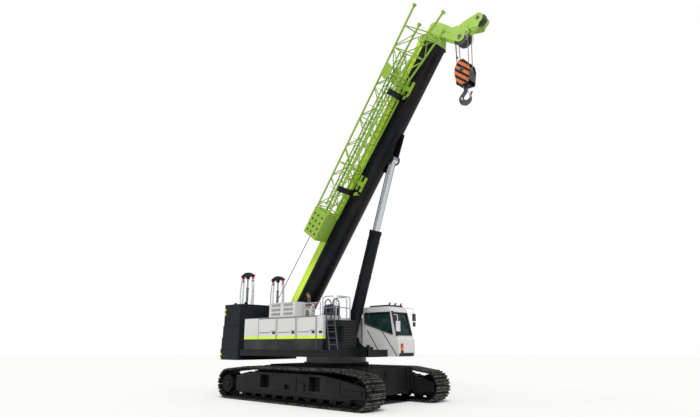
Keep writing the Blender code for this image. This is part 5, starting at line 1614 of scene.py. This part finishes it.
def build_block():
    """Pins, bolts, spacers, the safety catch and the weight that stops the hoist."""
    axle = BLOCK_AXLE
    bolt = bolt_head(0.014, 0.012)
    work = bmesh.new()
    for side in (-1, 1):
        add_pin(work, axle, side * CHEEK, side * (CHEEK + 0.02), 0.075, 22)
        add_pin(work, axle, side * (CHEEK + 0.02), side * (CHEEK + 0.032), 0.035, 6)
    fitted("block_pins", work, "forged_steel", 0.004, body="block_frame")
    places = ((0, 0.29), (-0.17, -0.38), (0.17, -0.38), (-0.2, 0.06), (0.2, 0.06))
    places = [axle + Vector((x, -CHEEK, z)) for x, z in places]
    studs("block_bolts", bolt, places, OUT_RIGHT, "forged_steel", body="block_frame")
    work = bmesh.new()
    for x in (-0.245, 0.225):
        add_box(work, axle + Vector((x, -0.205, -0.42)), axle + Vector((x + 0.02, 0.205, -0.06)))
    add_box(work, axle + Vector((-0.10, -0.205, 0.28)), axle + Vector((0.10, 0.205, 0.34)))
    fitted("block_spacers", work, "seam_shadow", 0.004, body="block_frame")
    catch = [
        axle + Vector((0.10, 0, -0.77)),
        axle + Vector((0.02, 0, -0.70)),
        axle + Vector((-0.03, 0, -0.66)),
    ]
    bars("hook_catch", [catch], 0.014, "forged_steel", 6, body="load_hook")
    chain = chain_pair("small_chain_shape", 0.013, 0.018, 0.010, 0.0, 0.004, 4, 8)
    top = HEAD_AXLE + Vector((-0.17, -0.165, -0.25))
    row(
        "limit_chain",
        chain,
        [top, top + Vector((0, 0, -0.42))],
        8,
        "forged_steel",
        body="block_frame",
    )
    work = bmesh.new()
    end = top + Vector((0, 0, -0.46))
    add_rod(work, end, end + Vector((0, 0, 0.05)), 0.04, 14)
    fitted("limit_weight", work, "forged_steel", 0.004, body="block_frame")


# ---- stage ----
CAMERA_PLACE = (12.373, -13.935, 1.873)
CAMERA_TURN = 41.97
CAMERA_PITCH = 14.6
CAMERA_LENS = 26.846
SKY_LIGHT = 0.42
SUNS = (
    ("key_light", (0.75, -0.75, 1.15), 2.7, 24.0), ("fill_light", (-0.6, -0.9, 0.9), 0.35, 50.0)
)


def build_stage():
    """The camera, a pale floor, an even sky and two sun lamps."""
    scene = bpy.context.scene
    camera = bpy.data.objects.new("camera", bpy.data.cameras.new("camera"))
    scene.collection.objects.link(camera)
    camera.data.sensor_width = 36.0
    camera.data.lens = CAMERA_LENS
    camera.location = CAMERA_PLACE
    camera.rotation_euler = (math.radians(90 + CAMERA_PITCH), 0, math.radians(CAMERA_TURN))
    camera.data.clip_end = 500
    scene.camera = camera
    work = bmesh.new()
    bmesh.ops.create_circle(work, cap_ends=True, segments=96, radius=90)
    floor = bpy.data.objects.new("floor", mesh_of(work))
    scene.collection.objects.link(floor)
    tree, shader, place = new_finish("pale_floor")
    tint = mixed(tree, blotches(tree, place, 0.6), linear("#f4f4f3"), linear("#efefee"))
    feed(tree, shader, {"Base Color": tint, "Roughness": 0.9, "Specular IOR Level": 0.1})
    floor.data.materials.append(bpy.data.materials["pale_floor"])
    world = bpy.data.worlds.new("studio")
    world.use_nodes = True
    sky = world.node_tree
    seen = add(sky, "ShaderNodeLightPath").outputs["Is Camera Ray"]
    strength = ranged(sky, seen, 0.0, 1.0, SKY_LIGHT, 1.0)
    feed(sky, sky.nodes["Background"], {"Color": (1.0, 1.0, 1.0, 1.0), "Strength": strength})
    scene.world = world
    for name, place, strength, spread in SUNS:
        lamp = bpy.data.lights.new(name, "SUN")
        lamp.energy = strength
        lamp.angle = math.radians(spread)
        made = bpy.data.objects.new(name, lamp)
        made.rotation_euler = Vector(place).to_track_quat("Z", "Y").to_euler()
        scene.collection.objects.link(made)
    scene.view_settings.view_transform = "Standard"


# ---- operators ----
class CRANE_OT_finishes(bpy.types.Operator):
    """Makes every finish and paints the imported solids"""

    bl_idname = "crane.finishes"
    bl_label = "Finishes"

    def execute(self, context):
        make_finishes(context.scene.crane_paint)
        paint_nodes()
        for build in (bar_tree, row_tree, spot_tree):
            build()
        return {"FINISHED"}


class CRANE_OT_tracks(bpy.types.Operator):
    """Builds the shoes of both tracks and what is bolted to their frames"""

    bl_idname = "crane.tracks"
    bl_label = "Tracks"

    def execute(self, context):
        build_tracks(context.scene.crane_sizes)
        build_track_frames()
        return {"FINISHED"}


class CRANE_OT_carbody(bpy.types.Operator):
    """Builds the trim of the carbody and the bolts of the slewing ring"""

    bl_idname = "crane.carbody"
    bl_label = "Carbody"

    def execute(self, context):
        build_carbody()
        return {"FINISHED"}


class CRANE_OT_house(bpy.types.Operator):
    """Builds door trim, louvres and what stands on the roof"""

    bl_idname = "crane.house"
    bl_label = "House"

    def execute(self, context):
        sizes = context.scene.crane_sizes
        build_house(sizes)
        build_louvres()
        build_roof_gear(sizes)
        return {"FINISHED"}


class CRANE_OT_ballast(bpy.types.Operator):
    """Builds the marks and lugs of the ballast, and its two lifts"""

    bl_idname = "crane.ballast"
    bl_label = "Ballast"

    def execute(self, context):
        build_ballast()
        build_lifts()
        return {"FINISHED"}


class CRANE_OT_front(bpy.types.Operator):
    """Builds the cabinet slats, the ladder and hoses at the front of the deck"""

    bl_idname = "crane.front"
    bl_label = "Front of the deck"

    def execute(self, context):
        build_front(context.scene.crane_sizes)
        return {"FINISHED"}


class CRANE_OT_cab(bpy.types.Operator):
    """Builds the rubbers, lamps, wiper, seat and mirrors of the cab"""

    bl_idname = "crane.cab"
    bl_label = "Cab"

    def execute(self, context):
        build_cab(context.scene.crane_sizes)
        return {"FINISHED"}


class CRANE_OT_boom(bpy.types.Operator):
    """Builds the fittings of the boom, its cylinder, its head and the winches"""

    bl_idname = "crane.boom"
    bl_label = "Boom"

    def execute(self, context):
        sizes = context.scene.crane_sizes
        build_boom(sizes)
        build_cylinder()
        build_head()
        build_winches(sizes)
        return {"FINISHED"}


class CRANE_OT_jib(bpy.types.Operator):
    """Builds the inner length and the fittings of the stowed jib"""

    bl_idname = "crane.jib"
    bl_label = "Jib"

    def execute(self, context):
        build_jib()
        return {"FINISHED"}


class CRANE_OT_block(bpy.types.Operator):
    """Builds the fittings of the hook block and the hook"""

    bl_idname = "crane.block"
    bl_label = "Hook block"

    def execute(self, context):
        build_block()
        return {"FINISHED"}


class CRANE_OT_stage(bpy.types.Operator):
    """Makes the camera, floor and lights"""

    bl_idname = "crane.stage"
    bl_label = "Stage"

    def execute(self, context):
        build_stage()
        return {"FINISHED"}


OPERATORS = (
    CRANE_OT_finishes,
    CRANE_OT_tracks,
    CRANE_OT_carbody,
    CRANE_OT_house,
    CRANE_OT_ballast,
    CRANE_OT_front,
    CRANE_OT_cab,
    CRANE_OT_boom,
    CRANE_OT_jib,
    CRANE_OT_block,
    CRANE_OT_stage,
)


class CRANE_PT_looks(bpy.types.Panel):
    """Lists the crane's settings and the steps that build its looks"""

    bl_label = "Crawler Crane"
    bl_idname = "CRANE_PT_looks"
    bl_space_type = "VIEW_3D"
    bl_region_type = "UI"
    bl_category = "Crane"

    def draw(self, context):
        for group in (context.scene.crane_paint, context.scene.crane_sizes):
            for key in group.__annotations__:
                self.layout.prop(group, key)
        for operator in OPERATORS:
            self.layout.operator(operator.bl_idname)


CLASSES = (CranePaint, CraneSizes) + OPERATORS + (CRANE_PT_looks,)


def register():
    for item in CLASSES:
        bpy.utils.register_class(item)
    bpy.types.Scene.crane_paint = bpy.props.PointerProperty(type=CranePaint)
    bpy.types.Scene.crane_sizes = bpy.props.PointerProperty(type=CraneSizes)


def unregister():
    del bpy.types.Scene.crane_sizes
    del bpy.types.Scene.crane_paint
    for item in reversed(CLASSES):
        bpy.utils.unregister_class(item)


def main():
    register()
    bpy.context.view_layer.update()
    for operator in OPERATORS:
        group, name = operator.bl_idname.split(".")
        getattr(getattr(bpy.ops, group), name)()


if __name__ == "__main__":
    main()
